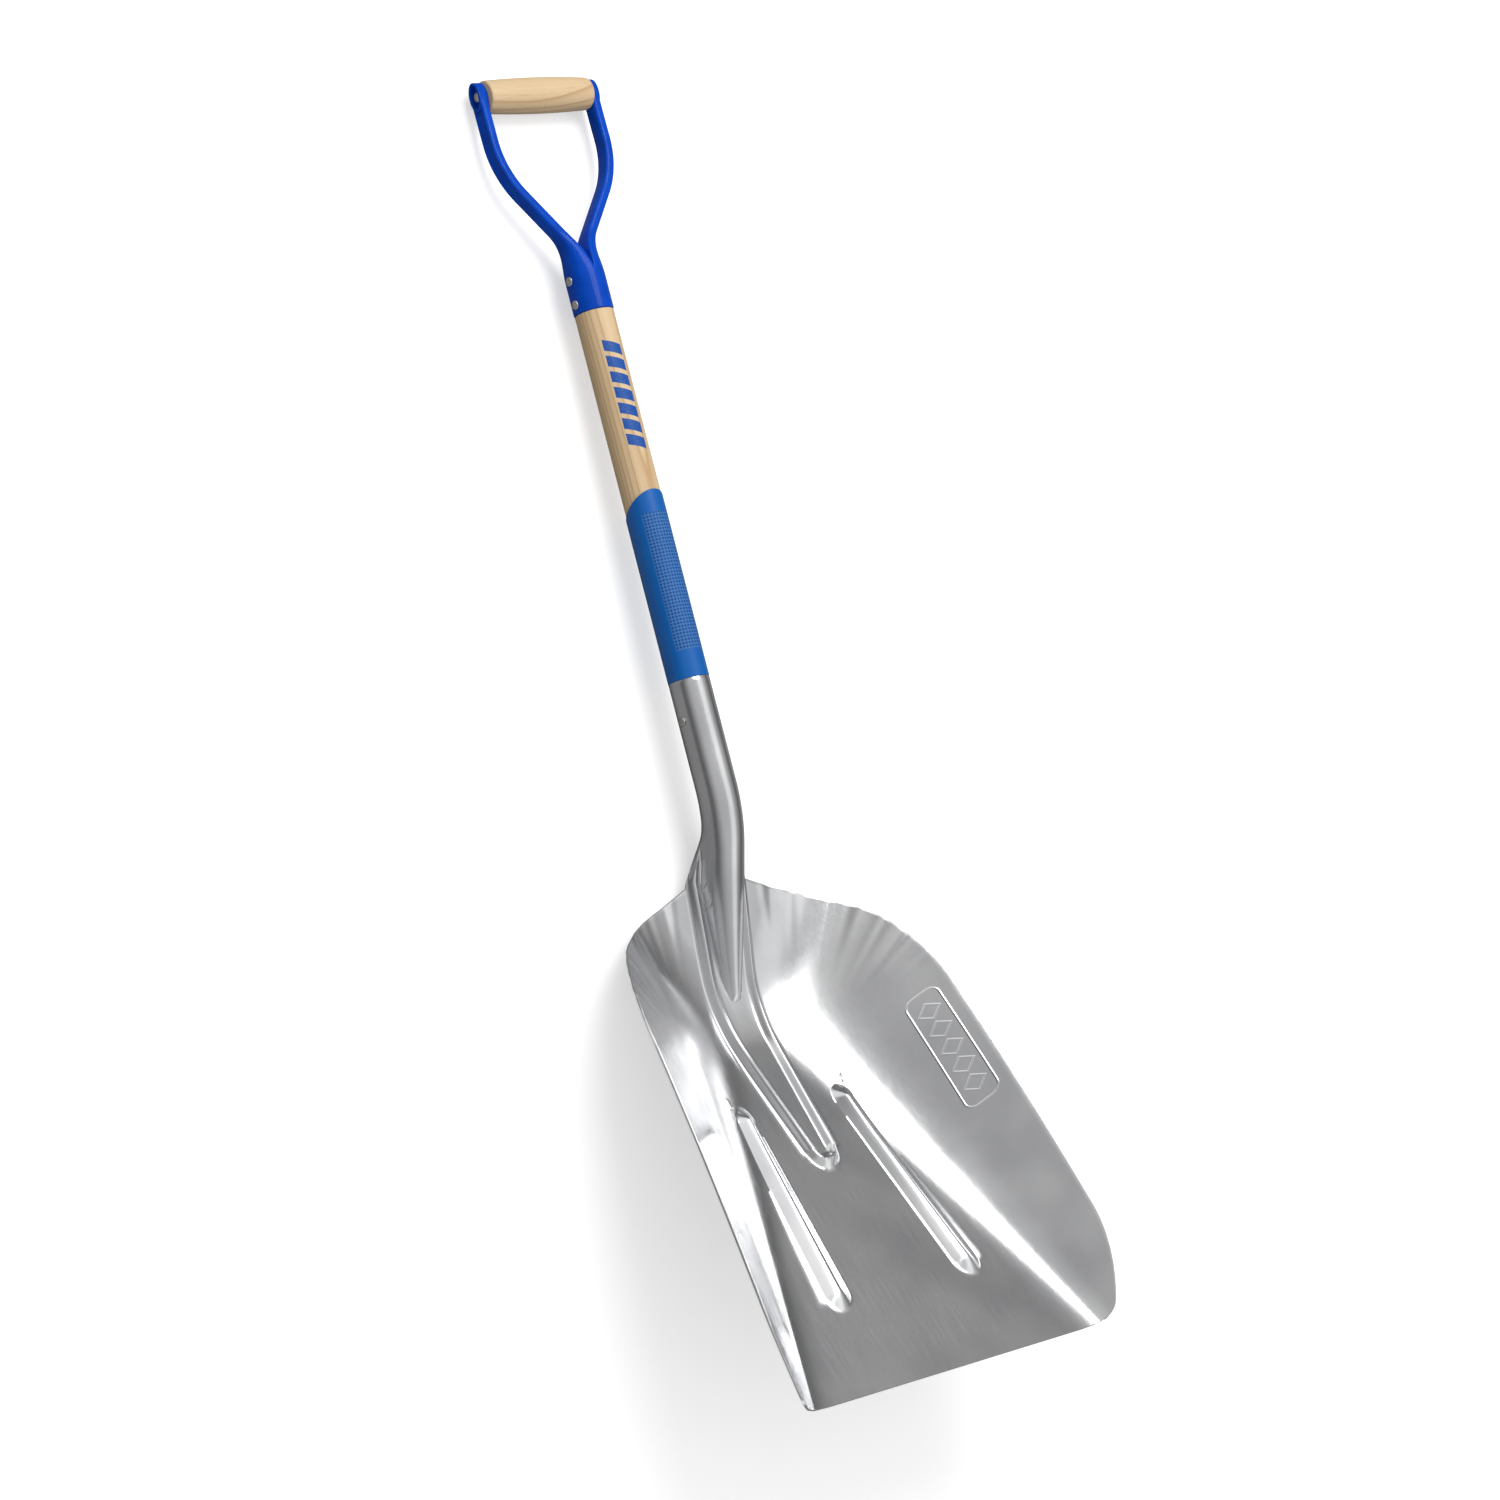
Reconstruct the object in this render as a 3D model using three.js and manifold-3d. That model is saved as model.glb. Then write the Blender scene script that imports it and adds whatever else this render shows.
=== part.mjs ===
// Grain scoop shovel: one aluminium pressing forms the blade and its open-backed socket, an ash
// shaft is riveted into it, and a folded steel yoke on top carries the wooden hand bar.
// Millimetres. The shovel lies on its back on the floor, the front edge towards -Y and tipped up,
// the hand bar towards +Y.
//
// The blade is drawn in its own frame: X across, Y up the blade to the handle, Z out of the hollow
// side. The handle parts are drawn along +Y from the mouth of the socket, then leaned back.
import * as THREE from 'three';
import Module from 'manifold-3d';

const wasm = await Module();
wasm.setup();

const rad = THREE.MathUtils.degToRad;
const { clamp, lerp, smoothstep } = THREE.MathUtils;

// ---------------------------------------------------------------- sizes

const FIT_GAP = 0.3;
const SHEET = 2;

const BLADE = {
  front: -337.7,
  frontHalf: 170.7,
  cornerRadius: 12,
  cornerTurn: rad(70.8),
  lipRadius: 193.6,
  lipTurn: rad(24.5),
  shoulderRadius: 235,
  shoulderTurn: rad(18.7),
  hipRadius: 130,
  hipTurn: rad(47),
  hipShare: 0.5,
  neckY: 142.055,
};

const PAN = {
  creaseHalf: 64,
  creaseTaper: 0.303,
  wallSlope: 0.82,
  wallFlare: 0.00066,
  frontFillet: 12,
  heelFillet: 40,
  heelY: 10,
  backRadius: 112,
  backAngle: rad(38),
};

const BEAD = {
  rearX: 55.3,
  rearY: -45,
  frontX: 75.5,
  frontY: -259.4,
  rearHalf: 9.5,
  frontHalf: 14.5,
  height: 7,
  hip: 17,
  crown: 0.35,
};

const TONGUE = {
  tipY: -124,
  tipHalf: 17,
  rearHalf: 34.5,
  rearY: 142.5,
  crestInset: 6.5,
  valleyInset: 13,
  frontSpread: 2.4,
  tipCrest: 6.5,
  rearCrest: 9,
  tipValley: 1.5,
  rearValley: 5,
};

// The visible round runs from the socket's mouth to the yoke; the neck above it is stepped down.
const SHAFT = { radius: 17.9, length: 343.3, tenonLength: 88, neckStep: 1.5, neckLength: 42 };

const SOCKET = {
  radius: 18.7,
  rootY: 142.4,
  rootAngle: rad(50),
  angle: rad(27.7),
  rootLength: 22.5,
  bendRadius: 140,
  length: 96.4,
  openHalf: rad(17),
  curlLength: 48,
  fadeY: 55,
  fade: 0.35,
  blend: 7,
};

const SLEEVE = { start: 0.3, length: 159.7, thickness: 0.7, slant: 13.4 };

const YOKE = {
  wall: 1.8,
  ferruleLength: 30.7,
  neckLength: 17,
  forkTurn: rad(37),
  forkRadius: 50,
  armLength: 44,
  straightenRadius: 86,
  reach: 208.2,
  armHalfWidth: 5,
  armHalfDepth: 8,
  morphLength: 50,
  setBack: 4.5,
  earHalfLength: 13.5,
  earHalfDepth: 8.2,
  earThickness: 9.6,
  cupInset: 2.6,
  cupDepth: 3.6,
};

const BAR = { endRadius: 14.8, midRadius: 16.4, rounding: 2 };

const ROD = { radius: 3.2, headRadius: 4.6, headHeight: 2 };

const RIVET = { radius: 2.4, headRadius: 4.4, headHeight: 1.8 };

// Places along the handle, from the socket's mouth.
const SOCKET_RIVET_AT = -35.7;
const YOKE_RIVETS_AT = {
  yoke_rivet_lower: SHAFT.length + 8.7,
  yoke_rivet_upper: SHAFT.length + YOKE.ferruleLength,
};
const SHAFT_TOP_AT = SHAFT.length + SHAFT.neckLength;
const SPLIT_AT = SHAFT.length + YOKE.ferruleLength;
const BAR_AT = SHAFT.length + YOKE.reach;
const NECK_RADIUS = SHAFT.radius - SHAFT.neckStep;

// ---------------------------------------------------------------- finishes

const finish = (color, roughness, metalness) =>
  new THREE.MeshStandardMaterial({ color, roughness, metalness });

const ALUMINIUM = finish(0xc9cbcd, 0.32, 1);
const ASH = finish(0xdcbd8c, 0.55, 0);
const BLUE_ENAMEL = finish(0x0a47c2, 0.25, 0);
const BLUE_SLEEVE = finish(0x1560b4, 0.45, 0);
const RIVET_STEEL = finish(0xb7b7b2, 0.35, 1);

// ---------------------------------------------------------------- solids

/** Turn a closed geometry into a solid that can be cut and joined. */
function solid(geometry) {
  const bare = geometry.clone();
  bare.deleteAttribute('normal');
  bare.deleteAttribute('uv');
  const welded = weld(bare);
  const mesh = new wasm.Mesh({
    numProp: 3,
    vertProperties: new Float32Array(welded.getAttribute('position').array),
    triVerts: new Uint32Array(welded.getIndex().array),
  });
  return new wasm.Manifold(mesh);
}

/** Merge corners that share a place, and drop the triangles that vanish. */
function weld(geometry) {
  const position = geometry.getAttribute('position');
  const index = geometry.getIndex();
  const count = index ? index.count : position.count;
  const seen = new Map();
  const points = [];
  const corners = [];
  for (let i = 0; i < count; i += 1) {
    const p = new THREE.Vector3().fromBufferAttribute(position, index ? index.getX(i) : i);
    const key = p.toArray().map((value) => Math.round(value * 1e4)).join(',');
    if (!seen.has(key)) {
      seen.set(key, points.length);
      points.push(p);
    }
    corners.push(seen.get(key));
  }
  const faces = [];
  for (let i = 0; i < count; i += 3) {
    const [a, b, c] = corners.slice(i, i + 3);
    if (a !== b && b !== c && c !== a) faces.push(a, b, c);
  }
  return new THREE.BufferGeometry().setFromPoints(points).setIndex(faces);
}

/** Bring a cut solid back as a geometry. */
function geometryOf(body) {
  const { vertProperties, triVerts } = body.getMesh();
  const geometry = new THREE.BufferGeometry();
  geometry.setAttribute('position', new THREE.BufferAttribute(vertProperties, 3));
  geometry.setIndex(new THREE.BufferAttribute(triVerts, 1));
  const faceted = geometry.toNonIndexed();
  faceted.computeVertexNormals();
  return faceted;
}

/** Revolve [radius, height] pairs about the Y axis. */
function turned(profile, segments) {
  return new THREE.LatheGeometry(profile.map(([r, y]) => new THREE.Vector2(r, y)), segments);
}

/** A plain pin along X, for shanks and for the holes they pass through. */
function pinAcross(radius, length, y, segments = 20) {
  const pin = new THREE.CylinderGeometry(radius, radius, length, segments);
  pin.rotateZ(Math.PI / 2);
  pin.translate(0, y, 0);
  return pin;
}

/** Follow straight runs and bends of a drawn line; a positive turn bends to the left. */
function route(x, y, heading, steps) {
  const path = new THREE.CurvePath();
  let at = new THREE.Vector2(x, y);
  let aim = heading;
  for (const { length, radius, turn } of steps) {
    if (length !== undefined) {
      const next = at.clone().add(new THREE.Vector2(Math.cos(aim), Math.sin(aim)).multiplyScalar(length));
      path.add(new THREE.LineCurve(at, next));
      at = next;
    } else {
      const left = Math.sign(turn);
      const centre = at.clone().add(
        new THREE.Vector2(-Math.sin(aim), Math.cos(aim)).multiplyScalar(left * radius),
      );
      const from = aim - left * Math.PI / 2;
      path.add(new THREE.EllipseCurve(centre.x, centre.y, radius, radius, from, from + turn, left < 0));
      aim += turn;
      at = centre.clone().add(
        new THREE.Vector2(Math.sin(aim), -Math.cos(aim)).multiplyScalar(left * radius),
      );
    }
  }
  return path;
}

/** Skin equal closed rings, one after another, and cap both ends. */
function loft(rings) {
  const size = rings[0].length;
  const points = rings.flat();
  const faces = [];
  for (let r = 0; r + 1 < rings.length; r += 1) {
    for (let i = 0; i < size; i += 1) {
      const a = r * size + i;
      const b = r * size + (i + 1) % size;
      faces.push(a, b, b + size, a, b + size, a + size);
    }
  }
  const last = (rings.length - 1) * size;
  for (let i = 1; i + 1 < size; i += 1) {
    faces.push(0, i + 1, i, last, last + i, last + i + 1);
  }
  return new THREE.BufferGeometry().setFromPoints(points).setIndex(faces);
}

/** Give a one-sided sheet its thickness on the far side and close its edges. */
function thicken(points, faces, thickness) {
  const sheet = new THREE.BufferGeometry().setFromPoints(points).setIndex(faces);
  sheet.computeVertexNormals();
  const normals = sheet.getAttribute('normal');
  const under = points.map((p, i) => {
    const normal = new THREE.Vector3().fromBufferAttribute(normals, i);
    return p.clone().addScaledVector(normal, -thickness);
  });
  const offset = points.length;
  const closed = [...faces];
  const open = new Map();
  for (let i = 0; i < faces.length; i += 3) {
    const [a, b, c] = faces.slice(i, i + 3);
    closed.push(a + offset, c + offset, b + offset);
    for (const [from, to] of [[a, b], [b, c], [c, a]]) {
      if (!open.delete(`${to},${from}`)) open.set(`${from},${to}`, [from, to]);
    }
  }
  for (const [from, to] of open.values()) {
    closed.push(from, from + offset, to + offset, from, to + offset, to);
  }
  return new THREE.BufferGeometry().setFromPoints([...points, ...under]).setIndex(closed);
}

/** Where a rising function crosses zero. */
function crossing(rise, low, high) {
  let [a, b] = [low, high];
  while (b - a > 1e-7) {
    const middle = (a + b) / 2;
    if (rise(middle) > 0) b = middle;
    else a = middle;
  }
  return a;
}

// ---------------------------------------------------------------- shape of the pressing

/** The greater of two heights, rounded where they meet. */
function roundedMax(a, b, width) {
  return Math.max(a, b) + Math.max(width - Math.abs(a - b), 0) ** 2 / (4 * width);
}

/** Rise of the back above the flat bottom: an arc, then a straight slope. */
function backRise(y) {
  const run = y - PAN.heelY;
  const arcRun = PAN.backRadius * Math.sin(PAN.backAngle);
  if (run <= 0) return 0;
  if (run <= arcRun) return PAN.backRadius - Math.sqrt(PAN.backRadius ** 2 - run ** 2);
  return PAN.backRadius * (1 - Math.cos(PAN.backAngle)) + (run - arcRun) * Math.tan(PAN.backAngle);
}

/** Half width of the flat bottom where the flared walls start. */
const creaseHalf = (y) => PAN.creaseHalf - PAN.creaseTaper * y;

/** Half width of the tongue that runs down from the socket. */
function tongueHalf(y) {
  const rise = (y - TONGUE.tipY) / (TONGUE.rearY - TONGUE.tipY);
  return lerp(TONGUE.tipHalf, TONGUE.rearHalf, Math.max(rise, 0));
}

/** Distance out from the middle of a stiffening bead. */
function beadMiddle(y) {
  return lerp(BEAD.rearX, BEAD.frontX, (BEAD.rearY - y) / (BEAD.rearY - BEAD.frontY));
}

/** Half width of a stiffening bead. */
function beadHalf(y) {
  const along = clamp((BEAD.rearY - y) / (BEAD.rearY - BEAD.frontY), 0, 1);
  return lerp(BEAD.rearHalf, BEAD.frontHalf, along);
}

/** Height of a bead: a rounded ridge with hipped ends. */
function beadHeight(side, y) {
  const across = Math.min(Math.abs(side - beadMiddle(y)) / beadHalf(y), 1);
  const round = (t) => Math.hypot(t, BEAD.crown);
  const ridge = (round(1) - round(across)) / (round(1) - BEAD.crown);
  const hip = clamp(Math.min(BEAD.rearY - y, y - BEAD.frontY) / BEAD.hip, 0, 1);
  return BEAD.height * Math.min(ridge, hip);
}

/** Height of the tongue: two crests joined round the tip, a shallow valley between them. */
function tongueHeight(side, y) {
  const turnY = TONGUE.tipY + TONGUE.tipHalf;
  const out = y > turnY ? tongueHalf(y) - side : TONGUE.tipHalf - Math.hypot(side, y - turnY);
  const up = clamp((y - TONGUE.tipY) / (TONGUE.rearY - TONGUE.tipY), 0, 1);
  const crest = lerp(TONGUE.tipCrest, TONGUE.rearCrest, up);
  const valley = lerp(TONGUE.tipValley, TONGUE.rearValley, up);
  const outer = crest * smoothstep(out, 0, TONGUE.crestInset);
  const inner = (crest - valley) * smoothstep(out, TONGUE.crestInset, TONGUE.valleyInset);
  return outer - inner;
}

/** Share of its full radius that the half tube keeps as it sinks into the tongue. */
function tubeShare(y) {
  return clamp((y - SOCKET.fadeY) / (SOCKET_ROOT.y - SOCKET.fadeY), 0, 1) ** SOCKET.fade;
}

/** Height of the half tube below the socket: it narrows as it sinks into the tongue. */
function tubeHeight(side, y) {
  const radius = SOCKET.radius * tubeShare(y);
  const inside = radius > 0 ? 1 - (side / radius) ** 2 : 0;
  if (inside <= 0) return -Infinity;
  const drop = (SOCKET_ROOT.y - y) * Math.tan(SOCKET.rootAngle);
  const crown = SOCKET_ROOT.z - drop + SOCKET.radius / Math.cos(SOCKET.rootAngle);
  return crown - radius * (1 - Math.sqrt(inside)) / Math.cos(SOCKET.rootAngle);
}

/** Height of the hollow side of the pressing over the flat bottom. */
function bladeHeight(x, y) {
  const side = Math.abs(x);
  const wall = (PAN.wallSlope - PAN.wallFlare * y) * (side - creaseHalf(y));
  const toHeel = clamp((y - BLADE.front) / (PAN.heelY - BLADE.front), 0, 1);
  const pan = roundedMax(backRise(y), wall, lerp(PAN.frontFillet, PAN.heelFillet, toHeel));
  const pressed = pan + beadHeight(side, y) + tongueHeight(side, y);
  return roundedMax(pressed, tubeHeight(side, y), SOCKET.blend);
}

// The socket's middle line leaves the back one radius above the sheet, bends, then runs straight.
const SOCKET_ROOT = { y: SOCKET.rootY, z: backRise(SOCKET.rootY) + SOCKET.radius };
const SOCKET_LINE = route(SOCKET_ROOT.y, SOCKET_ROOT.z, SOCKET.rootAngle, [
  { length: SOCKET.rootLength },
  { radius: SOCKET.bendRadius, turn: SOCKET.angle - SOCKET.rootAngle },
  { length: SOCKET.length },
]);
const SOCKET_MOUTH = SOCKET_LINE.getPoint(1);

/** Plan outline of the right half with the given straight side, front edge to middle line. */
function outlineOf(sideLength) {
  const outline = route(BLADE.frontHalf, BLADE.front, 0, [
    { radius: BLADE.cornerRadius, turn: BLADE.cornerTurn },
    { radius: BLADE.lipRadius, turn: BLADE.lipTurn },
    { length: sideLength },
    { radius: BLADE.shoulderRadius, turn: BLADE.shoulderTurn },
    { radius: BLADE.hipRadius, turn: BLADE.hipTurn },
  ]);
  const hip = outline.getPoint(1);
  const aim = outline.getTangent(1);
  outline.add(new THREE.LineCurve(hip, new THREE.Vector2(0, hip.y - aim.y * hip.x / aim.x)));
  return outline;
}

/** Outline whose side is long enough for the rear edge to meet the tongue at the neck. */
function bladeOutline() {
  const neckRise = (sideLength) => {
    const rear = outlineOf(sideLength).curves.at(-1);
    return lerp(rear.v2.y, rear.v1.y, TONGUE.rearHalf / rear.v1.x) - BLADE.neckY;
  };
  return outlineOf(crossing(neckRise, 0, BLADE.neckY - BLADE.front));
}

/** Distances out from the middle of the lines that follow the half tube, valley and crest. */
function tongueStops(y) {
  const half = tongueHalf(y);
  const valley = half - TONGUE.valleyInset;
  const crest = half - TONGUE.crestInset;
  const tube = clamp(SOCKET.radius * tubeShare(y), 0.5 * valley, 0.83 * valley);
  const round = TUBE_ANGLES.map((angle) => tube * Math.sin(angle));
  const toCrest = [0.2, 1, 1.5].map((step) => lerp(tube, valley, Math.min(step, 1))
    + (crest - valley) * Math.max(step - 1, 0));
  return [...round, ...toCrest, crest, (crest + half) / 2, half];
}

const TUBE_ANGLES = [0, 22, 44, 64, 80, 89].map(rad);

/** Plan lines that run up the right half of the blade, from the middle out to the rim. */
function bladeLanes(outline) {
  const lengths = outline.getCurveLengths();
  const total = outline.getLength();
  const cornerAt = lerp(lengths[3], lengths[4], BLADE.hipShare) / total;
  const neckAt = crossing((t) => TONGUE.rearHalf - outline.getPoint(t).x, cornerAt, 1);
  const rearEdge = (share) => outline.getPoint(lerp(neckAt, cornerAt, share));
  const tongue = tongueStops(TONGUE.rearY).map((x, i, stops) => {
    const inTube = Math.sqrt(Math.max(SOCKET.radius ** 2 - x ** 2, 0)) * Math.sin(SOCKET.rootAngle);
    const y = i + 1 < stops.length ? SOCKET_ROOT.y - inTube : rearEdge(0).y;
    return { rear: new THREE.Vector2(x, y), across: (at) => spreadStop(i, at) };
  });
  const beads = [-1.4, -1, -0.5, 0, 0.5, 1].map((part, i) => ({
    rear: rearEdge(0.03 + 0.076 * i),
    across: (at) => beadMiddle(at) + part * beadHalf(at),
  }));
  const creases = [-1, -0.3, 0.3, 1].map((part, i) => ({
    rear: rearEdge(0.5 + 0.09 * i),
    across: (at) => creaseHalf(at) + part * creaseBand(at),
  }));
  return { tongue, lanes: [...tongue, ...beads, ...creases], cornerAt };
}

/** A tongue line's distance out; ahead of the tip the lines fan out towards the front edge. */
function spreadStop(i, y) {
  if (y >= TONGUE.tipY) return tongueStops(y)[i];
  const ahead = (TONGUE.tipY - y) / (TONGUE.tipY - BLADE.front);
  return tongueStops(TONGUE.tipY)[i] * lerp(1, TONGUE.frontSpread, ahead);
}

/** Half width of the strip of mesh that follows the fillet along the crease. */
function creaseBand(y) {
  const ahead = clamp((BEAD.rearY - y) / (BEAD.rearY - BLADE.front), 0, 1);
  return lerp(PAN.heelFillet, PAN.frontFillet, ahead) / 3;
}

/** Rows of plan points from the front edge to the rear edge, right half, middle line first. */
function bladeRows(outline, { tongue, lanes, cornerAt }) {
  const wallSteps = [0.25, 0.5, 0.75, 1];
  const beadTop = crossing((t) => outline.getPoint(t).y - BEAD.rearY, 0, cornerAt);
  const rows = [];
  const addRow = (straightY, toRear) => {
    const inner = lanes.map((lane) => {
      if (toRear === undefined) return new THREE.Vector2(lane.across(straightY), straightY);
      const y = lerp(BEAD.rearY, lane.rear.y, toRear);
      const isTongue = tongue.includes(lane);
      const x = isTongue ? lane.across(y) : lerp(lane.across(BEAD.rearY), lane.rear.x, toRear);
      return new THREE.Vector2(x, y);
    });
    const rimAt = toRear === undefined
      ? crossing((t) => outline.getPoint(t).y - straightY, 0, cornerAt)
      : lerp(beadTop, cornerAt, toRear);
    const rim = outline.getPoint(rimAt);
    const crease = inner[inner.length - 1];
    const wall = wallSteps.map((step) => crease.clone().lerp(rim, step));
    rows.push([...inner, ...wall]);
  };
  for (const t of [0, 0.04, 0.1, 0.25, 0.5, 0.75, 1]) {
    addRow(lerp(BLADE.front, BEAD.frontY, t));
  }
  const hip = BEAD.hip;
  const nose = TONGUE.tipY;
  const midRows = [BEAD.frontY + hip, -215, -185, -155, nose, nose + 6, nose + 12, nose + 20, -85,
    BEAD.rearY - hip, BEAD.rearY];
  midRows.forEach((y) => addRow(y));
  for (let i = 1; i <= REAR_ROWS; i += 1) {
    addRow(BEAD.rearY, i / REAR_ROWS);
  }
  return rows;
}

const REAR_ROWS = 13;
const NECK_RINGS = 14;

/** Angle round the socket for each line of the tongue, 0 at the crown. */
function curlAngles(tongue) {
  const closed = Math.PI - SOCKET.openHalf;
  const side = TUBE_ANGLES.length - 1;
  return tongue.map((_, i) => {
    if (i <= side) return TUBE_ANGLES[i];
    return lerp(TUBE_ANGLES[side], closed, (i - side) / (tongue.length - 1 - side));
  });
}

/** Blade and open-backed socket, pressed from one sheet. */
function scoopBlade() {
  const outline = bladeOutline();
  const plan = bladeLanes(outline);
  const rows = bladeRows(outline, plan);
  const half = rows[0].length - 1;
  const points = [];
  for (const row of rows) {
    for (let column = -half; column <= half; column += 1) {
      const { x, y } = row[Math.abs(column)];
      const across = Math.sign(column) * x;
      points.push(new THREE.Vector3(across, y, bladeHeight(across, y)));
    }
  }
  const faces = [];
  const quad = (a, b, c, d) => faces.push(a, b, c, a, c, d);
  const width = 2 * half + 1;
  for (let row = 0; row + 1 < rows.length; row += 1) {
    for (let i = 0; i + 1 < width; i += 1) {
      const a = row * width + i;
      quad(a, a + 1, a + 1 + width, a + width);
    }
  }

  // The tongue carries on past the rear edge and curls into the socket.
  const angles = curlAngles(plan.tongue);
  const reach = angles.length - 1;
  const length = SOCKET_LINE.getLength();
  let below = (rows.length - 1) * width + half - reach;
  for (let ring = 1; ring <= NECK_RINGS; ring += 1) {
    const along = (ring / NECK_RINGS) ** 1.15;
    const centre = SOCKET_LINE.getPoint(along);
    const aim = SOCKET_LINE.getTangent(along);
    const curled = smoothstep(along * length, 0, SOCKET.curlLength);
    const start = points.length;
    for (let column = -reach; column <= reach; column += 1) {
      const angle = Math.sign(column) * angles[Math.abs(column)];
      const up = SOCKET.radius * Math.cos(angle);
      const tube = new THREE.Vector3(
        SOCKET.radius * Math.sin(angle),
        centre.x - up * aim.y,
        centre.y + up * aim.x,
      );
      const root = points[(rows.length - 1) * width + half + column].clone();
      root.y += centre.x - SOCKET_ROOT.y;
      root.z += centre.y - SOCKET_ROOT.z;
      points.push(root.lerp(tube, curled));
    }
    for (let i = 0; i < 2 * reach; i += 1) {
      quad(below + i, below + i + 1, start + i + 1, start + i);
    }
    below = start;
  }

  const hole = pinAcross(RIVET.radius + FIT_GAP, 3 * SOCKET.radius, SOCKET_RIVET_AT);
  hole.applyMatrix4(handlePose());
  return geometryOf(solid(thicken(points, faces, SHEET)).subtract(solid(hole)));
}

// ---------------------------------------------------------------- handle parts, along +Y

/**
 * Ash shaft: a tenon inside the socket, one straight round, and a neck inside the ferrule.
 * A tenon wider than the round ends one gap below the sleeve, so that the two stay clear.
 */
function shaft() {
  const tenon = SOCKET.radius - SHEET - 2 * FIT_GAP;
  const shoulder = SLEEVE.start - (tenon > SHAFT.radius ? FIT_GAP : 0);
  const chamfer = 5;
  const body = turned([
    [0, -SHAFT.tenonLength],
    [tenon - chamfer, -SHAFT.tenonLength],
    [tenon, -SHAFT.tenonLength + chamfer],
    [tenon, shoulder],
    [SHAFT.radius, shoulder],
    [SHAFT.radius, SHAFT.length - FIT_GAP],
    [NECK_RADIUS, SHAFT.length - FIT_GAP],
    [NECK_RADIUS, SHAFT_TOP_AT - chamfer],
    [NECK_RADIUS - chamfer, SHAFT_TOP_AT],
    [0, SHAFT_TOP_AT],
  ], 40);
  let wood = solid(body);
  for (const at of [SOCKET_RIVET_AT, ...Object.values(YOKE_RIVETS_AT)]) {
    wood = wood.subtract(solid(pinAcross(RIVET.radius + FIT_GAP, 3 * SHAFT.radius, at)));
  }
  return geometryOf(wood);
}

/** Moulded grip sleeve over the lower shaft; its top edge is cut on a slant. */
function gripSleeve() {
  const inner = SHAFT.radius + FIT_GAP;
  const outer = inner + SLEEVE.thickness;
  const top = SLEEVE.start + SLEEVE.length;
  const tube = turned([
    [inner, SLEEVE.start],
    [outer, SLEEVE.start],
    [outer, top],
    [inner, top],
    [inner, SLEEVE.start],
  ], 48);
  const position = tube.getAttribute('position');
  for (let i = 0; i < position.count; i += 1) {
    const slanted = position.getY(i) > top - FIT_GAP;
    if (slanted) position.setY(i, top + SLEEVE.slant * position.getZ(i) / outer);
  }
  return geometryOf(solid(tube));
}

/** Radius outside the yoke's ferrule. */
const ferruleRadius = () => NECK_RADIUS + FIT_GAP + YOKE.wall;

/** Middle line of the right arm, from the ferrule to the ear. */
function armLine() {
  const bends = YOKE.neckLength + (YOKE.forkRadius + YOKE.straightenRadius) * Math.sin(YOKE.forkTurn)
    + YOKE.armLength * Math.cos(YOKE.forkTurn);
  return route(ferruleRadius() / 2, SPLIT_AT, Math.PI / 2, [
    { length: YOKE.neckLength },
    { radius: YOKE.forkRadius, turn: -YOKE.forkTurn },
    { length: YOKE.armLength },
    { radius: YOKE.straightenRadius, turn: YOKE.forkTurn },
    { length: BAR_AT - SPLIT_AT - bends },
  ]);
}

/** Distance of each ear's middle from the shaft's middle plane. */
const earAt = () => armLine().getPoint(1).x;

/** One arm of the yoke: half a ferrule at its foot, a rounded bar further up. */
function yokeArm(hand) {
  const line = armLine();
  const length = line.getLength();
  const steps = 22;
  const around = 20;
  const radius = ferruleRadius();
  const rings = [];
  for (let step = 0; step <= steps; step += 1) {
    const along = step / steps;
    const centre = line.getPoint(along);
    const aim = line.getTangent(along);
    const drawn = smoothstep(along * length, 0, YOKE.morphLength);
    const ring = [];
    for (let i = 0; i < around; i += 1) {
      const angle = 2 * Math.PI * i / around;
      const [c, s] = [Math.cos(angle), Math.sin(angle)];
      const halfRound = [c > 0 ? radius * c - radius / 2 : -radius / 2 - FIT_GAP, radius * s];
      const square = [
        YOKE.armHalfWidth * Math.sign(c) * Math.sqrt(Math.abs(c)),
        YOKE.armHalfDepth * Math.sign(s) * Math.sqrt(Math.abs(s)),
      ];
      const out = lerp(halfRound[0], square[0], drawn);
      const deep = lerp(halfRound[1], square[1], drawn);
      const x = centre.x + out * aim.y;
      const back = YOKE.setBack * smoothstep(along, 0, 1);
      ring.push(new THREE.Vector3(hand * x, centre.y - out * aim.x, deep - back));
    }
    rings.push(hand > 0 ? ring.reverse() : ring);
  }
  return loft(rings);
}

/** Oval plug lying across the shaft at one ear of the yoke. */
function earOval(hand, out, thickness, inset) {
  const oval = new THREE.CylinderGeometry(1, 1, thickness, 36);
  oval.rotateZ(Math.PI / 2);
  oval.scale(1, YOKE.earHalfLength - inset, YOKE.earHalfDepth - inset);
  oval.translate(hand * out, BAR_AT, -YOKE.setBack);
  return solid(oval);
}

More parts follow.
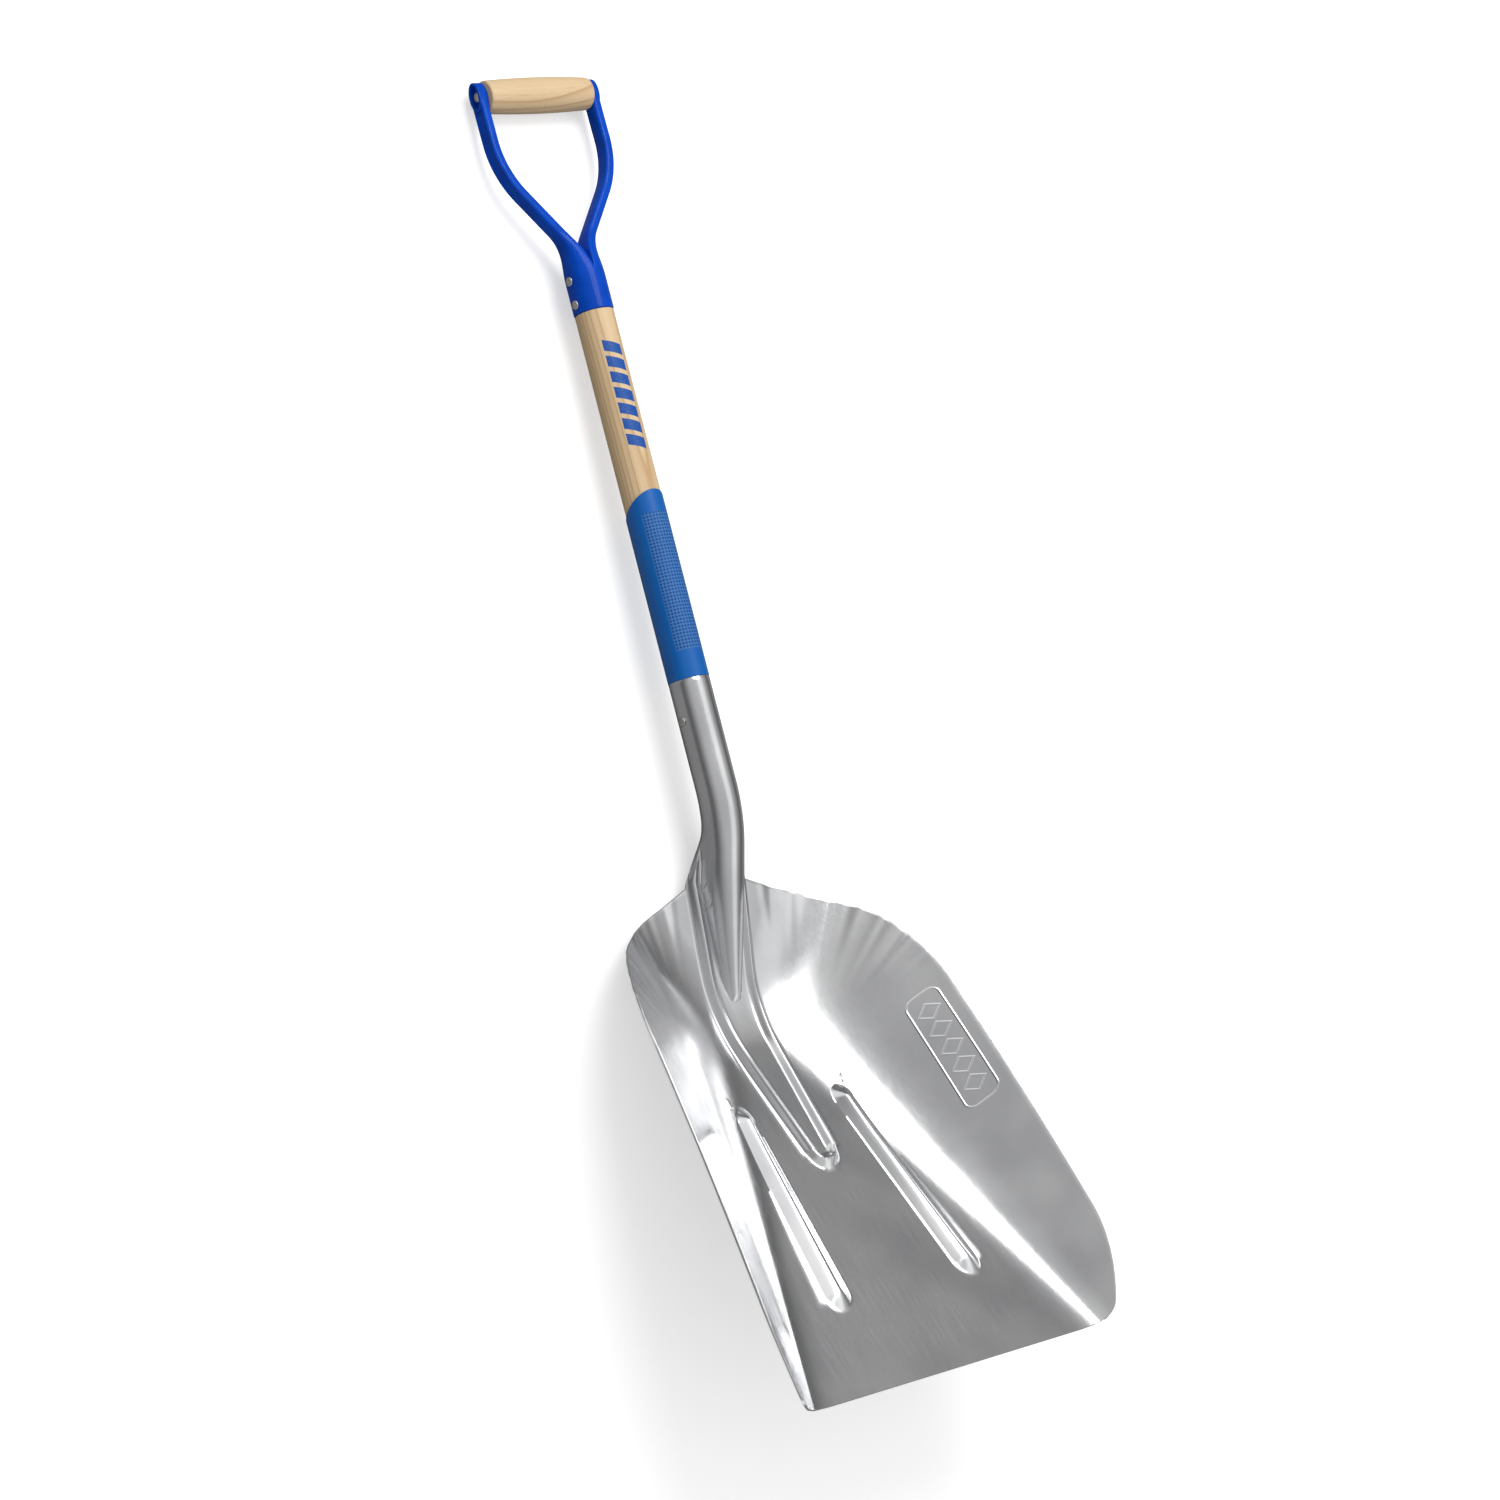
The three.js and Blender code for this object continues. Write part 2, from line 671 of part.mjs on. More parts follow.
/** Folded steel yoke: ferrule, two arms and two ears hollowed on the outside. */
function yoke() {
  const radius = ferruleRadius();
  const edge = 0.6;
  let body = solid(turned([
    [0, SHAFT.length],
    [radius - edge, SHAFT.length],
    [radius, SHAFT.length + edge],
    [radius, SPLIT_AT + edge],
    [0, SPLIT_AT + edge],
  ], 40));
  for (const hand of [-1, 1]) {
    body = body.add(solid(yokeArm(hand))).add(earOval(hand, earAt(), YOKE.earThickness, 0));
  }
  const inner = NECK_RADIUS + FIT_GAP;
  body = body.subtract(solid(turned([
    [0, SHAFT.length - 1],
    [inner, SHAFT.length - 1],
    [inner, SHAFT_TOP_AT - 5],
    [inner - 5, SHAFT_TOP_AT + FIT_GAP],
    [0, SHAFT_TOP_AT + FIT_GAP],
  ], 40)));
  for (const hand of [-1, 1]) {
    const face = earAt() + YOKE.earThickness / 2;
    body = body.subtract(earOval(hand, face, 2 * YOKE.cupDepth, YOKE.cupInset));
  }
  const rodHole = pinAcross(ROD.radius + FIT_GAP, 3 * earAt(), BAR_AT, 24);
  rodHole.translate(0, 0, -YOKE.setBack);
  body = body.subtract(solid(rodHole));
  for (const at of Object.values(YOKE_RIVETS_AT)) {
    body = body.subtract(solid(pinAcross(RIVET.radius + FIT_GAP, 3 * radius, at)));
  }
  return geometryOf(body);
}

/** Turned hand bar, fuller in the middle, bored for its rod. */
function handBar() {
  const half = earAt() - YOKE.earThickness / 2 - FIT_GAP;
  const bore = ROD.radius + FIT_GAP;
  const steps = 12;
  const profile = [[bore, -half], [BAR.endRadius - BAR.rounding, -half]];
  for (let i = 0; i <= steps; i += 1) {
    const along = lerp(-1, 1, i / steps);
    profile.push([lerp(BAR.midRadius, BAR.endRadius, along ** 2), along * (half - BAR.rounding)]);
  }
  profile.push([BAR.endRadius - BAR.rounding, half], [bore, half], [bore, -half]);
  const bar = turned(profile, 32);
  bar.rotateZ(-Math.PI / 2);
  bar.translate(0, BAR_AT, -YOKE.setBack);
  return geometryOf(solid(bar));
}

/** Pin along X with a domed head on each end, the heads starting at the given half length. */
function headedPin({ radius, headRadius, headHeight }, half, y, z) {
  const dome = (side) => [0.35, 0.7, 0.92].map((share) => [
    headRadius * Math.sqrt(1 - share ** 2),
    side * (half + headHeight * share),
  ]);
  const pin = turned([
    [0, -half - headHeight],
    ...dome(-1).reverse(),
    [headRadius, -half],
    [radius, -half],
    [radius, half],
    [headRadius, half],
    ...dome(1),
    [0, half + headHeight],
  ], 24);
  pin.rotateZ(-Math.PI / 2);
  pin.translate(0, y, z);
  return geometryOf(solid(pin));
}

/** Rod through both ears and the hand bar, peened over inside the hollows of the ears. */
function handBarRod() {
  const floor = earAt() + YOKE.earThickness / 2 - YOKE.cupDepth + FIT_GAP;
  return headedPin(ROD, floor, BAR_AT, -YOKE.setBack);
}

/** Rivet through a round of the given outside radius. */
function rivet(outside, at) {
  return headedPin(RIVET, outside + FIT_GAP, at, 0);
}

// ---------------------------------------------------------------- assembly

/** Lean of the handle parts, and where the mouth of the socket sits in the blade's frame. */
function handlePose() {
  const pose = new THREE.Matrix4().makeRotationX(SOCKET.angle);
  return pose.setPosition(0, SOCKET_MOUTH.x, SOCKET_MOUTH.y);
}

/** Lowest corner of a mesh once everything is tilted back about X. */
function lowest(mesh, tilt) {
  const position = mesh.geometry.getAttribute('position');
  const pose = new THREE.Matrix4().makeRotationX(-tilt).multiply(mesh.matrixWorld);
  const point = new THREE.Vector3();
  let low = Infinity;
  for (let i = 0; i < position.count; i += 1) {
    low = Math.min(low, point.fromBufferAttribute(position, i).applyMatrix4(pose).z);
  }
  return low;
}

/** Tilt that lets the rounded heel of the blade and the hand bar touch one floor. */
function restingTilt(blade, bar) {
  return crossing((tilt) => lowest(blade, tilt) - lowest(bar, tilt), 0, Math.PI / 3);
}

/** A named piece of the shovel. */
function piece(name, geometry, material) {
  const mesh = new THREE.Mesh(geometry, material);
  mesh.name = name;
  return mesh;
}

/** The whole shovel at rest, standing on Z = 0 and centred over the origin. */
function grainScoop() {
  const handle = new THREE.Group();
  handle.name = 'handle';
  handle.applyMatrix4(handlePose());
  handle.add(piece('shaft', shaft(), ASH));
  handle.add(piece('grip_sleeve', gripSleeve(), BLUE_SLEEVE));
  handle.add(piece('socket_rivet', rivet(SOCKET.radius, SOCKET_RIVET_AT), RIVET_STEEL));
  handle.add(piece('yoke', yoke(), BLUE_ENAMEL));
  for (const [name, at] of Object.entries(YOKE_RIVETS_AT)) {
    handle.add(piece(name, rivet(ferruleRadius(), at), RIVET_STEEL));
  }
  const bar = piece('hand_bar', handBar(), ASH);
  handle.add(bar, piece('hand_bar_rod', handBarRod(), RIVET_STEEL));

  const leaned = new THREE.Group();
  leaned.name = 'leaned';
  const blade = piece('scoop_blade', scoopBlade(), ALUMINIUM);
  leaned.add(blade, handle);
  leaned.updateMatrixWorld(true);
  leaned.rotation.x = -restingTilt(blade, bar);

  const scoop = new THREE.Group();
  scoop.name = 'grain_scoop';
  scoop.add(leaned);
  scoop.updateMatrixWorld(true);
  const bounds = new THREE.Box3().setFromObject(scoop, true);
  leaned.position.set(0, -bounds.getCenter(new THREE.Vector3()).y, -bounds.min.z);
  scoop.updateMatrixWorld(true);
  return scoop;
}

export default grainScoop();
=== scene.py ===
"""Grain scoop shovel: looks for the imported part.

One aluminium pressing forms the blade and its open-backed socket. An ash shaft with a blue grip
sleeve is riveted into it, and a folded steel yoke on top carries the wooden hand bar.

The pieces are drawn in millimetres, either in the blade's frame (X across, Y up the blade, Z out of
the hollow side) or in the handle's frame (Y along the shaft from the mouth of the socket), and are
laid down in the row frame, in metres, when they are finished.
"""

from __future__ import annotations

import logging
import math
from collections.abc import Callable, Sequence
from dataclasses import dataclass, field
from enum import Enum

import bmesh
import bpy
from mathutils import Matrix, Vector


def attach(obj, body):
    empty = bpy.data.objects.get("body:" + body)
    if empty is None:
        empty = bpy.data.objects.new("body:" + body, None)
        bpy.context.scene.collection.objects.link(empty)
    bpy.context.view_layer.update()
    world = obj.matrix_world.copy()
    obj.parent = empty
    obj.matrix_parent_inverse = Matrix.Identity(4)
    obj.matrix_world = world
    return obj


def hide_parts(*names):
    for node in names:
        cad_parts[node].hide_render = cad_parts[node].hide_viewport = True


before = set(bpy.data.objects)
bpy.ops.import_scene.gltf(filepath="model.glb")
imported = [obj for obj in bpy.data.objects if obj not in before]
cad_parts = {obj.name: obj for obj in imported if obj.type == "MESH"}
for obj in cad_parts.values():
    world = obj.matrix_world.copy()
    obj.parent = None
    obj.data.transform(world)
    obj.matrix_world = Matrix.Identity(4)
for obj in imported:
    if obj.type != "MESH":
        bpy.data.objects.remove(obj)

LOG = logging.getLogger("grain_scoop")
MM = 0.001
FIT_GAP = 0.3
Ring = list[Vector]


class Hand(Enum):
    """Side of the middle plane."""

    LEFT = -1
    RIGHT = 1


class Slot(Enum):
    """Material slots of the record."""

    BLADE = "blade_aluminium"
    WOOD = "ash_wood"
    SLEEVE = "sleeve_blue"
    YOKE = "yoke_enamel"
    STEEL = "rivet_steel"


# ---------------------------------------------------------------- small sums


def lerp(start: float, end: float, share: float) -> float:
    """Value a share of the way from start to end."""
    return start + (end - start) * share


def clamp(value: float, low: float = 0.0, high: float = 1.0) -> float:
    """Value kept between low and high."""
    return max(low, min(high, value))


def smoothstep(value: float, low: float, high: float) -> float:
    """Soft step from 0 at low to 1 at high."""
    share = clamp((value - low) / (high - low))
    return share * share * (3 - 2 * share)


def rounded_max(one: float, other: float, width: float) -> float:
    """Greater of two heights, rounded where they meet."""
    return max(one, other) + max(width - abs(one - other), 0) ** 2 / (4 * width)


def crossing(rise: Callable[[float], float], low: float, high: float) -> float:
    """Find where a rising function crosses zero.

    Args:
        rise: The function.
        low: Start of the range.
        high: End of the range.

    Returns:
        The place of the crossing.
    """
    while high - low > 1e-7:
        middle = (low + high) / 2
        if rise(middle) > 0:
            high = middle
        else:
            low = middle
    return low


@dataclass(frozen=True)
class Run:
    """A stretch of a drawn line: straight, or an even bend where it turns."""

    length: float
    turn: float = 0.0


def bend(radius: float, turn: float) -> Run:
    """Bend of a given radius; a positive turn goes to the left."""
    return Run(radius * abs(turn), turn)


@dataclass(frozen=True)
class DrawnLine:
    """Straight runs and bends, one after another, in a plane."""

    start: tuple[float, float]
    heading: float
    runs: tuple[Run, ...]

    @property
    def length(self) -> float:
        """Whole length of the line."""
        return sum(run.length for run in self.runs)

    def at(self, distance: float) -> tuple[float, float, float]:
        """Follow the line.

        Args:
            distance: Distance from the start.

        Returns:
            The place there, and the heading.
        """
        x, y = self.start
        aim = self.heading
        for run in self.runs:
            step = min(distance, run.length)
            if run.turn:
                radius = run.length / run.turn
                turned_to = aim + step / radius
                x += radius * (math.sin(turned_to) - math.sin(aim))
                y -= radius * (math.cos(turned_to) - math.cos(aim))
                aim = turned_to
            else:
                x += step * math.cos(aim)
                y += step * math.sin(aim)
            distance -= step
            if distance <= 0:
                break
        return x, y, aim


# ---------------------------------------------------------------- bench tools


def deselect_all() -> None:
    """Leave nothing selected."""
    bpy.ops.object.select_all(action="DESELECT")


def pick(piece: bpy.types.Object) -> None:
    """Select one piece alone and make it active."""
    deselect_all()
    piece.select_set(True)
    bpy.context.view_layer.objects.active = piece


def settle(piece: bpy.types.Object, pose: Matrix) -> None:
    """Lay a piece down in the row frame and apply its place to its mesh.

    Args:
        piece: The piece, drawn at the origin.
        pose: Where its drawing frame lies in the row frame.
    """
    pick(piece)
    piece.matrix_world = pose
    bpy.ops.object.transform_apply(location=True, rotation=True, scale=True)


def apply_modifier(piece: bpy.types.Object, kind: str, **settings: object) -> None:
    """Give a piece a modifier and apply it.

    Args:
        piece: The piece.
        kind: Kind of modifier.
        settings: Its settings.
    """
    pick(piece)
    modifier = piece.modifiers.new(kind.title(), kind)
    for name, value in settings.items():
        setattr(modifier, name, value)
    bpy.ops.object.modifier_apply(modifier=modifier.name)


def smooth(piece: bpy.types.Object, degrees: float = 35.0) -> None:
    """Shade a piece smooth, with edges sharper than an angle kept crisp."""
    pick(piece)
    bpy.ops.object.shade_smooth_by_angle(angle=math.radians(degrees))


def merge_and_face_out(piece: bpy.types.Object, gap: float = 0.002) -> None:
    """Merge corners that share a place and turn every face outwards.

    Args:
        piece: The piece.
        gap: Merging distance in millimetres.
    """
    pick(piece)
    bpy.ops.object.mode_set(mode="EDIT")
    bpy.ops.mesh.select_all(action="SELECT")
    bpy.ops.mesh.remove_doubles(threshold=gap * MM)
    bpy.ops.mesh.normals_make_consistent(inside=False)
    bpy.ops.object.mode_set(mode="OBJECT")


def extrude_ring(piece: bpy.types.Object, ring: Ring) -> None:
    """Extrude the selected edges once and set the new corners down, lane by lane.

    Args:
        piece: The piece in edit mode, its corners numbered by the lane layer.
        ring: New place of each lane, in millimetres.
    """
    bpy.ops.mesh.extrude_edges_move()
    work = bmesh.from_edit_mesh(piece.data)
    lane = work.verts.layers.int["lane"]
    for corner in work.verts:
        if corner.select:
            corner.co = ring[corner[lane]] * MM
    bmesh.update_edit_mesh(piece.data)


def loft(name: str, rings: Sequence[Ring], closed: bool = True) -> bpy.types.Object:
    """Extrude a circle ring after ring, each ring set to its section.

    Args:
        name: Name of the piece.
        rings: Equal closed rings in millimetres.
        closed: Whether the two ends are filled.

    Returns:
        The piece.
    """
    deselect_all()
    bpy.ops.mesh.primitive_circle_add(vertices=len(rings[0]), radius=MM, fill_type="NOTHING")
    piece = bpy.context.object
    piece.name = name
    lanes = piece.data.attributes.new("lane", "INT", "POINT")
    for index, corner in enumerate(piece.data.vertices):
        lanes.data[index].value = index
        corner.co = rings[0][index] * MM
    bpy.ops.object.mode_set(mode="EDIT")
    bpy.ops.mesh.select_all(action="SELECT")
    if closed:
        bpy.ops.mesh.edge_face_add()
    for ring in rings[1:]:
        extrude_ring(piece, ring)
    if closed:
        bpy.ops.mesh.edge_face_add()
    bpy.ops.object.mode_set(mode="OBJECT")
    piece.data.attributes.remove(piece.data.attributes["lane"])
    merge_and_face_out(piece)
    return piece


class Along(Enum):
    """Axis that a turned piece is revolved about."""

    X = "X"
    Y = "Y"


def turn(
    name: str,
    profile: Sequence[tuple[float, float]],
    segments: int,
    along: Along = Along.Y,
    centre: Vector | None = None,
) -> bpy.types.Object:
    """Turn a round piece: a circle, extruded and resized from station to station.

    Args:
        name: Name of the piece.
        profile: Radius and height of each station; a bored piece ends where it starts.
        segments: Corners round the piece.
        along: Axis that the profile's height follows.
        centre: Where height nothing lies, in millimetres.

    Returns:
        The piece.
    """
    deselect_all()
    first_radius, first_height = profile[0]
    bpy.ops.mesh.primitive_circle_add(
        vertices=segments, radius=first_radius * MM, location=(0, 0, first_height * MM)
    )
    piece = bpy.context.object
    piece.name = name
    bpy.ops.object.transform_apply(location=True, rotation=False, scale=False)
    bpy.ops.object.mode_set(mode="EDIT")
    bpy.ops.mesh.select_all(action="SELECT")
    bored = profile[0] == profile[-1]
    if not bored:
        bpy.ops.mesh.edge_face_add()
    radius, height = first_radius, first_height
    for next_radius, next_height in profile[1:]:
        rise = (next_height - height) * MM
        bpy.ops.mesh.extrude_edges_move(TRANSFORM_OT_translate={"value": (0, 0, rise)})
        share = next_radius / radius
        bpy.ops.transform.resize(
            value=(share, share, 1), center_override=(0, 0, next_height * MM)
        )
        radius, height = next_radius, next_height
    if not bored:
        bpy.ops.mesh.edge_face_add()
    bpy.ops.object.mode_set(mode="OBJECT")
    lay = {
        Along.X: Matrix.Rotation(math.pi / 2, 4, "Y"),
        Along.Y: Matrix.Rotation(-math.pi / 2, 4, "X"),
    }[along]
    settle(piece, Matrix.Translation((centre or Vector()) * MM) @ lay)
    merge_and_face_out(piece)
    return piece


def cut(piece: bpy.types.Object, tool: bpy.types.Object, join: bool = False) -> None:
    """Cut one closed solid out of another, or join the two.

    Args:
        piece: The piece that stays.
        tool: The solid that is used up.
        join: Whether the tool is added instead.
    """
    operation = "UNION" if join else "DIFFERENCE"
    apply_modifier(piece, "BOOLEAN", operation=operation, solver="MANIFOLD", object=tool)
    pick(tool)
    bpy.ops.object.delete()


# ---------------------------------------------------------------- finishes


class Tree:
    """A node tree with short words for placing and wiring nodes."""

    def __init__(self, tree: bpy.types.NodeTree) -> None:
        """Take over a tree."""
        self.tree = tree

    def add(self, kind: str, inputs: dict | None = None, **settings: object) -> bpy.types.Node:
        """Place a node.

        Args:
            kind: Its type name.
            inputs: Values or output sockets for its inputs, by name or number.
            settings: Its properties.

        Returns:
            The node.
        """
        node = self.tree.nodes.new(kind)
        for name, value in settings.items():
            setattr(node, name, value)
        for key, value in (inputs or {}).items():
            if isinstance(value, bpy.types.NodeSocket):
                self.tree.links.new(value, node.inputs[key])
            else:
                node.inputs[key].default_value = value
        return node

    def math(self, operation: str, *values: object, limit: bool = False) -> bpy.types.NodeSocket:
        """Place a sum.

        Args:
            operation: The sum.
            values: Its numbers or sockets.
            limit: Whether the answer is kept between 0 and 1.

        Returns:
            The answer's socket.
        """
        inputs = dict(enumerate(values))
        node = self.add("ShaderNodeMath", inputs, operation=operation, use_clamp=limit)
        return node.outputs[0]

    def blend(self, share: object, one: object, other: object, how: str = "MIX") -> bpy.types.NodeSocket:
        """Mix two colours.

        Args:
            share: How much of the other colour.
            one: First colour.
            other: Second colour.
            how: Way of mixing.

        Returns:
            The mixed colour's socket.
        """
        inputs = {"Factor": share, 6: one, 7: other}
        node = self.add("ShaderNodeMix", inputs, data_type="RGBA", blend_type=how)
        return node.outputs[2]

    def spread(
        self, value: object, low: float, high: float, to_low: float, to_high: float
    ) -> bpy.types.NodeSocket:
        """Stretch a value from one range to another, kept inside the second.

        Args:
            value: The value.
            low: Start of its range.
            high: End of its range.
            to_low: Start of the new range.
            to_high: End of the new range.

        Returns:
            The new value's socket.
        """
        inputs = {0: value, 1: low, 2: high, 3: to_low, 4: to_high}
        return self.add("ShaderNodeMapRange", inputs).outputs[0]


def new_group(
    name: str, takes: dict[str, object], gives: dict[str, str]
) -> tuple[Tree, bpy.types.Node, bpy.types.Node]:
    """Start a shader group with named sockets.

    Args:
        name: Name of the group.
        takes: Inputs and their starting values; None is a vector.
        gives: Outputs and their socket types.

    Returns:
        The group's tree, and its input and output nodes.
    """
    group = bpy.data.node_groups.new(name, "ShaderNodeTree")
    for label, value in takes.items():
        kind = "NodeSocketVector" if value is None else "NodeSocketFloat"
        socket = group.interface.new_socket(label, in_out="INPUT", socket_type=kind)
        if value is not None:
            socket.default_value = value
    for label, kind in gives.items():
        group.interface.new_socket(label, in_out="OUTPUT", socket_type=kind)
    tree = Tree(group)
    entry = tree.add("NodeGroupInput")
    exit_node = tree.add("NodeGroupOutput")
    return tree, entry, exit_node


def make_streak_group() -> bpy.types.NodeTree:
    """Fine drawn streaks with soft cloudy patches between them, for metals.

    Returns:
        The group: Vector, Fineness and Stretch in; Streak, Cloud and Speck out.
    """
    tree, entry, leave = new_group(
        "drawn_streaks",
        {"Vector": None, "Fineness": 900.0, "Stretch": 0.03},
        {"Streak": "NodeSocketFloat", "Cloud": "NodeSocketFloat", "Speck": "NodeSocketFloat"},
    )
    squeeze = tree.add("ShaderNodeCombineXYZ", {0: 1.0, 1: entry.outputs["Stretch"], 2: 1.0})
    drawn = tree.add(
        "ShaderNodeVectorMath",
        {0: entry.outputs["Vector"], 1: squeeze.outputs[0]},
        operation="MULTIPLY",
    )
    streak = tree.add(
        "ShaderNodeTexNoise",
        {
            "Vector": drawn.outputs[0],
            "Scale": entry.outputs["Fineness"],
            "Detail": 3.0,
            "Roughness": 0.6,
        },
    )
    cloud = tree.add(
        "ShaderNodeTexNoise",
        {"Vector": entry.outputs["Vector"], "Scale": 14.0, "Detail": 3.0, "Roughness": 0.5},
    )
    speck = tree.add(
        "ShaderNodeTexNoise",
        {"Vector": entry.outputs["Vector"], "Scale": 420.0, "Detail": 2.0, "Roughness": 0.6},
    )
    tree.tree.links.new(streak.outputs[0], leave.inputs["Streak"])
    tree.tree.links.new(cloud.outputs[0], leave.inputs["Cloud"])
    tree.tree.links.new(speck.outputs[0], leave.inputs["Speck"])
    return tree.tree


def make_wear_and_highlight_group() -> bpy.types.NodeTree:
    """Mask that is bright along outer edges, broken up by noise: edge wear on the metals, painted
    highlight on the enamel.

    Returns:
        The group: Vector, Reach in; Edge out.
    """
    tree, entry, leave = new_group(
        "edge_wear_and_highlight", {"Vector": None, "Reach": 0.06}, {"Edge": "NodeSocketFloat"}
    )
    point = tree.add("ShaderNodeNewGeometry").outputs["Pointiness"]
    top = tree.math("ADD", 0.5, entry.outputs["Reach"])
    edge = tree.add("ShaderNodeMapRange", {0: point, 1: 0.51, 2: top, 3: 0.0, 4: 1.0})
    noise = tree.add(
        "ShaderNodeTexNoise",
        {"Vector": entry.outputs["Vector"], "Scale": 260.0, "Detail": 4.0, "Roughness": 0.65},
    )
    broken = tree.spread(noise.outputs[0], 0.4, 0.62, 0.0, 1.0)
    tree.tree.links.new(
        tree.math("MULTIPLY", edge.outputs[0], broken, limit=True), leave.inputs["Edge"]
    )
    return tree.tree


def make_grain_group() -> bpy.types.NodeTree:
    """Ash grain sawn from a log: rings, fine pores and long fibres.

    The vector runs in metres with the grain along Y.

    Returns:
        The group: Vector, Heart, Spacing in; Ring, Pore and Fibre out.
    """
    tree, entry, leave = new_group(
        "ash_grain",
        {"Vector": None, "Heart": 0.05, "Spacing": 0.0032},
        {"Ring": "NodeSocketFloat", "Pore": "NodeSocketFloat", "Fibre": "NodeSocketFloat"},
    )
    place = entry.outputs["Vector"]
    parts = tree.add("ShaderNodeSeparateXYZ", {0: place}).outputs
    slow = tree.add(
        "ShaderNodeVectorMath", {0: place, 1: (9.0, 3.2, 9.0)}, operation="MULTIPLY"
    ).outputs[0]
    wander = tree.add(
        "ShaderNodeTexNoise", {"Vector": slow, "Scale": 1.0, "Detail": 2.0}
    ).outputs[0]
    sway = tree.math("MULTIPLY", tree.math("SUBTRACT", wander, 0.5), 0.034)
    across = tree.math("ADD", parts[0], sway)
    deep = tree.math("ADD", parts[2], entry.outputs["Heart"])
    out = tree.math(
        "SQRT", tree.math("ADD", tree.math("POWER", across, 2.0), tree.math("POWER", deep, 2.0))
    )
    lean = tree.math("ADD", out, tree.math("MULTIPLY", parts[1], 0.012))
    count = tree.math("DIVIDE", lean, entry.outputs["Spacing"])
    year = tree.math("FRACT", count)
    late = tree.add("ShaderNodeMapRange", {0: year, 1: 0.35, 2: 0.93, 3: 0.0, 4: 1.0}).outputs[0]
    fall = tree.add("ShaderNodeMapRange", {0: year, 1: 0.93, 2: 1.0, 3: 1.0, 4: 0.0}).outputs[0]
    ring = tree.math("MULTIPLY", tree.math("POWER", late, 2.2), fall)
    long_pores = tree.add(
        "ShaderNodeVectorMath", {0: place, 1: (1500.0, 55.0, 1500.0)}, operation="MULTIPLY"
    ).outputs[0]
    pore = tree.add(
        "ShaderNodeTexNoise", {"Vector": long_pores, "Scale": 1.0, "Detail": 2.0, "Roughness": 0.6}
    ).outputs[0]
    fibres = tree.add(
        "ShaderNodeVectorMath", {0: place, 1: (420.0, 9.0, 420.0)}, operation="MULTIPLY"
    ).outputs[0]
    fibre = tree.add(
        "ShaderNodeTexNoise", {"Vector": fibres, "Scale": 1.0, "Detail": 4.0, "Roughness": 0.62}
    ).outputs[0]
    early = tree.add("ShaderNodeMapRange", {0: year, 1: 0.0, 2: 0.5, 3: 1.0, 4: 0.25}).outputs[0]
    pits = tree.add("ShaderNodeMapRange", {0: pore, 1: 0.58, 2: 0.7, 3: 0.0, 4: 1.0}).outputs[0]
    tree.tree.links.new(ring, leave.inputs["Ring"])
    tree.tree.links.new(tree.math("MULTIPLY", pits, early), leave.inputs["Pore"])
    tree.tree.links.new(fibre, leave.inputs["Fibre"])
    return tree.tree


def make_stamp_group() -> bpy.types.NodeTree:
    """Plain raised outline: an oblong frame round a row of lozenges, along X about the origin.

    Returns:
        The group: Vector, Length, Width, Pitch and Line in, in metres; Line out.
    """
    corner_share = 0.3
    lozenge_across, lozenge_along, lozenge_reach = 3.1, 2.5, 0.0056
    tree, entry, leave = new_group(
        "raised_outline",
        {"Vector": None, "Length": 0.112, "Width": 0.027, "Pitch": 0.019, "Line": 0.0011},
        {"Line": "NodeSocketFloat"},
    )
    parts = tree.add("ShaderNodeSeparateXYZ", {0: entry.outputs["Vector"]}).outputs
    corner = tree.math("MULTIPLY", entry.outputs["Width"], corner_share)
    reach = []
    for axis, size in ((0, "Length"), (1, "Width")):
        half = tree.math("SUBTRACT", tree.math("MULTIPLY", entry.outputs[size], 0.5), corner)
        reach.append(tree.math("SUBTRACT", tree.math("ABSOLUTE", parts[axis]), half))
    out = tree.math("SQRT", tree.math(
        "ADD",
        tree.math("POWER", tree.math("MAXIMUM", reach[0], 0.0), 2.0),
        tree.math("POWER", tree.math("MAXIMUM", reach[1], 0.0), 2.0),
    ))
    within = tree.math("MINIMUM", tree.math("MAXIMUM", reach[0], reach[1]), 0.0)
    edge = tree.math("SUBTRACT", tree.math("ADD", out, within), corner)
    step = tree.math("DIVIDE", parts[0], entry.outputs["Pitch"])
    step = tree.math("SUBTRACT", tree.math("FRACT", tree.math("ADD", step, 0.5)), 0.5)
    high = tree.math("DIVIDE", tree.math("ABSOLUTE", parts[1]), entry.outputs["Width"])
    lozenge = tree.math("ADD", tree.math("MULTIPLY", tree.math("ABSOLUTE", step), lozenge_along),
                        tree.math("MULTIPLY", high, lozenge_across))
    lozenge = tree.math("MULTIPLY", tree.math("SUBTRACT", lozenge, 1.0), lozenge_reach)
    kept = tree.math("LESS_THAN", reach[0], 0.0)
    lozenge = tree.math("ADD", tree.math("ABSOLUTE", lozenge),
                        tree.math("SUBTRACT", 1.0, kept))
    near = tree.math("MINIMUM", tree.math("ABSOLUTE", edge), lozenge)
    line = tree.add(
        "ShaderNodeMapRange", {0: near, 1: 0.0, 2: entry.outputs["Line"], 3: 1.0, 4: 0.0},
        interpolation_type="SMOOTHSTEP",
    ).outputs[0]
    tree.tree.links.new(line, leave.inputs["Line"])
    return tree.tree


@dataclass
class Groups:
    """Shader groups that several finishes share."""

    streaks: bpy.types.NodeTree = field(default_factory=make_streak_group)
    wear_and_highlight: bpy.types.NodeTree = field(default_factory=make_wear_and_highlight_group)
    grain: bpy.types.NodeTree = field(default_factory=make_grain_group)
    outline: bpy.types.NodeTree = field(default_factory=make_stamp_group)


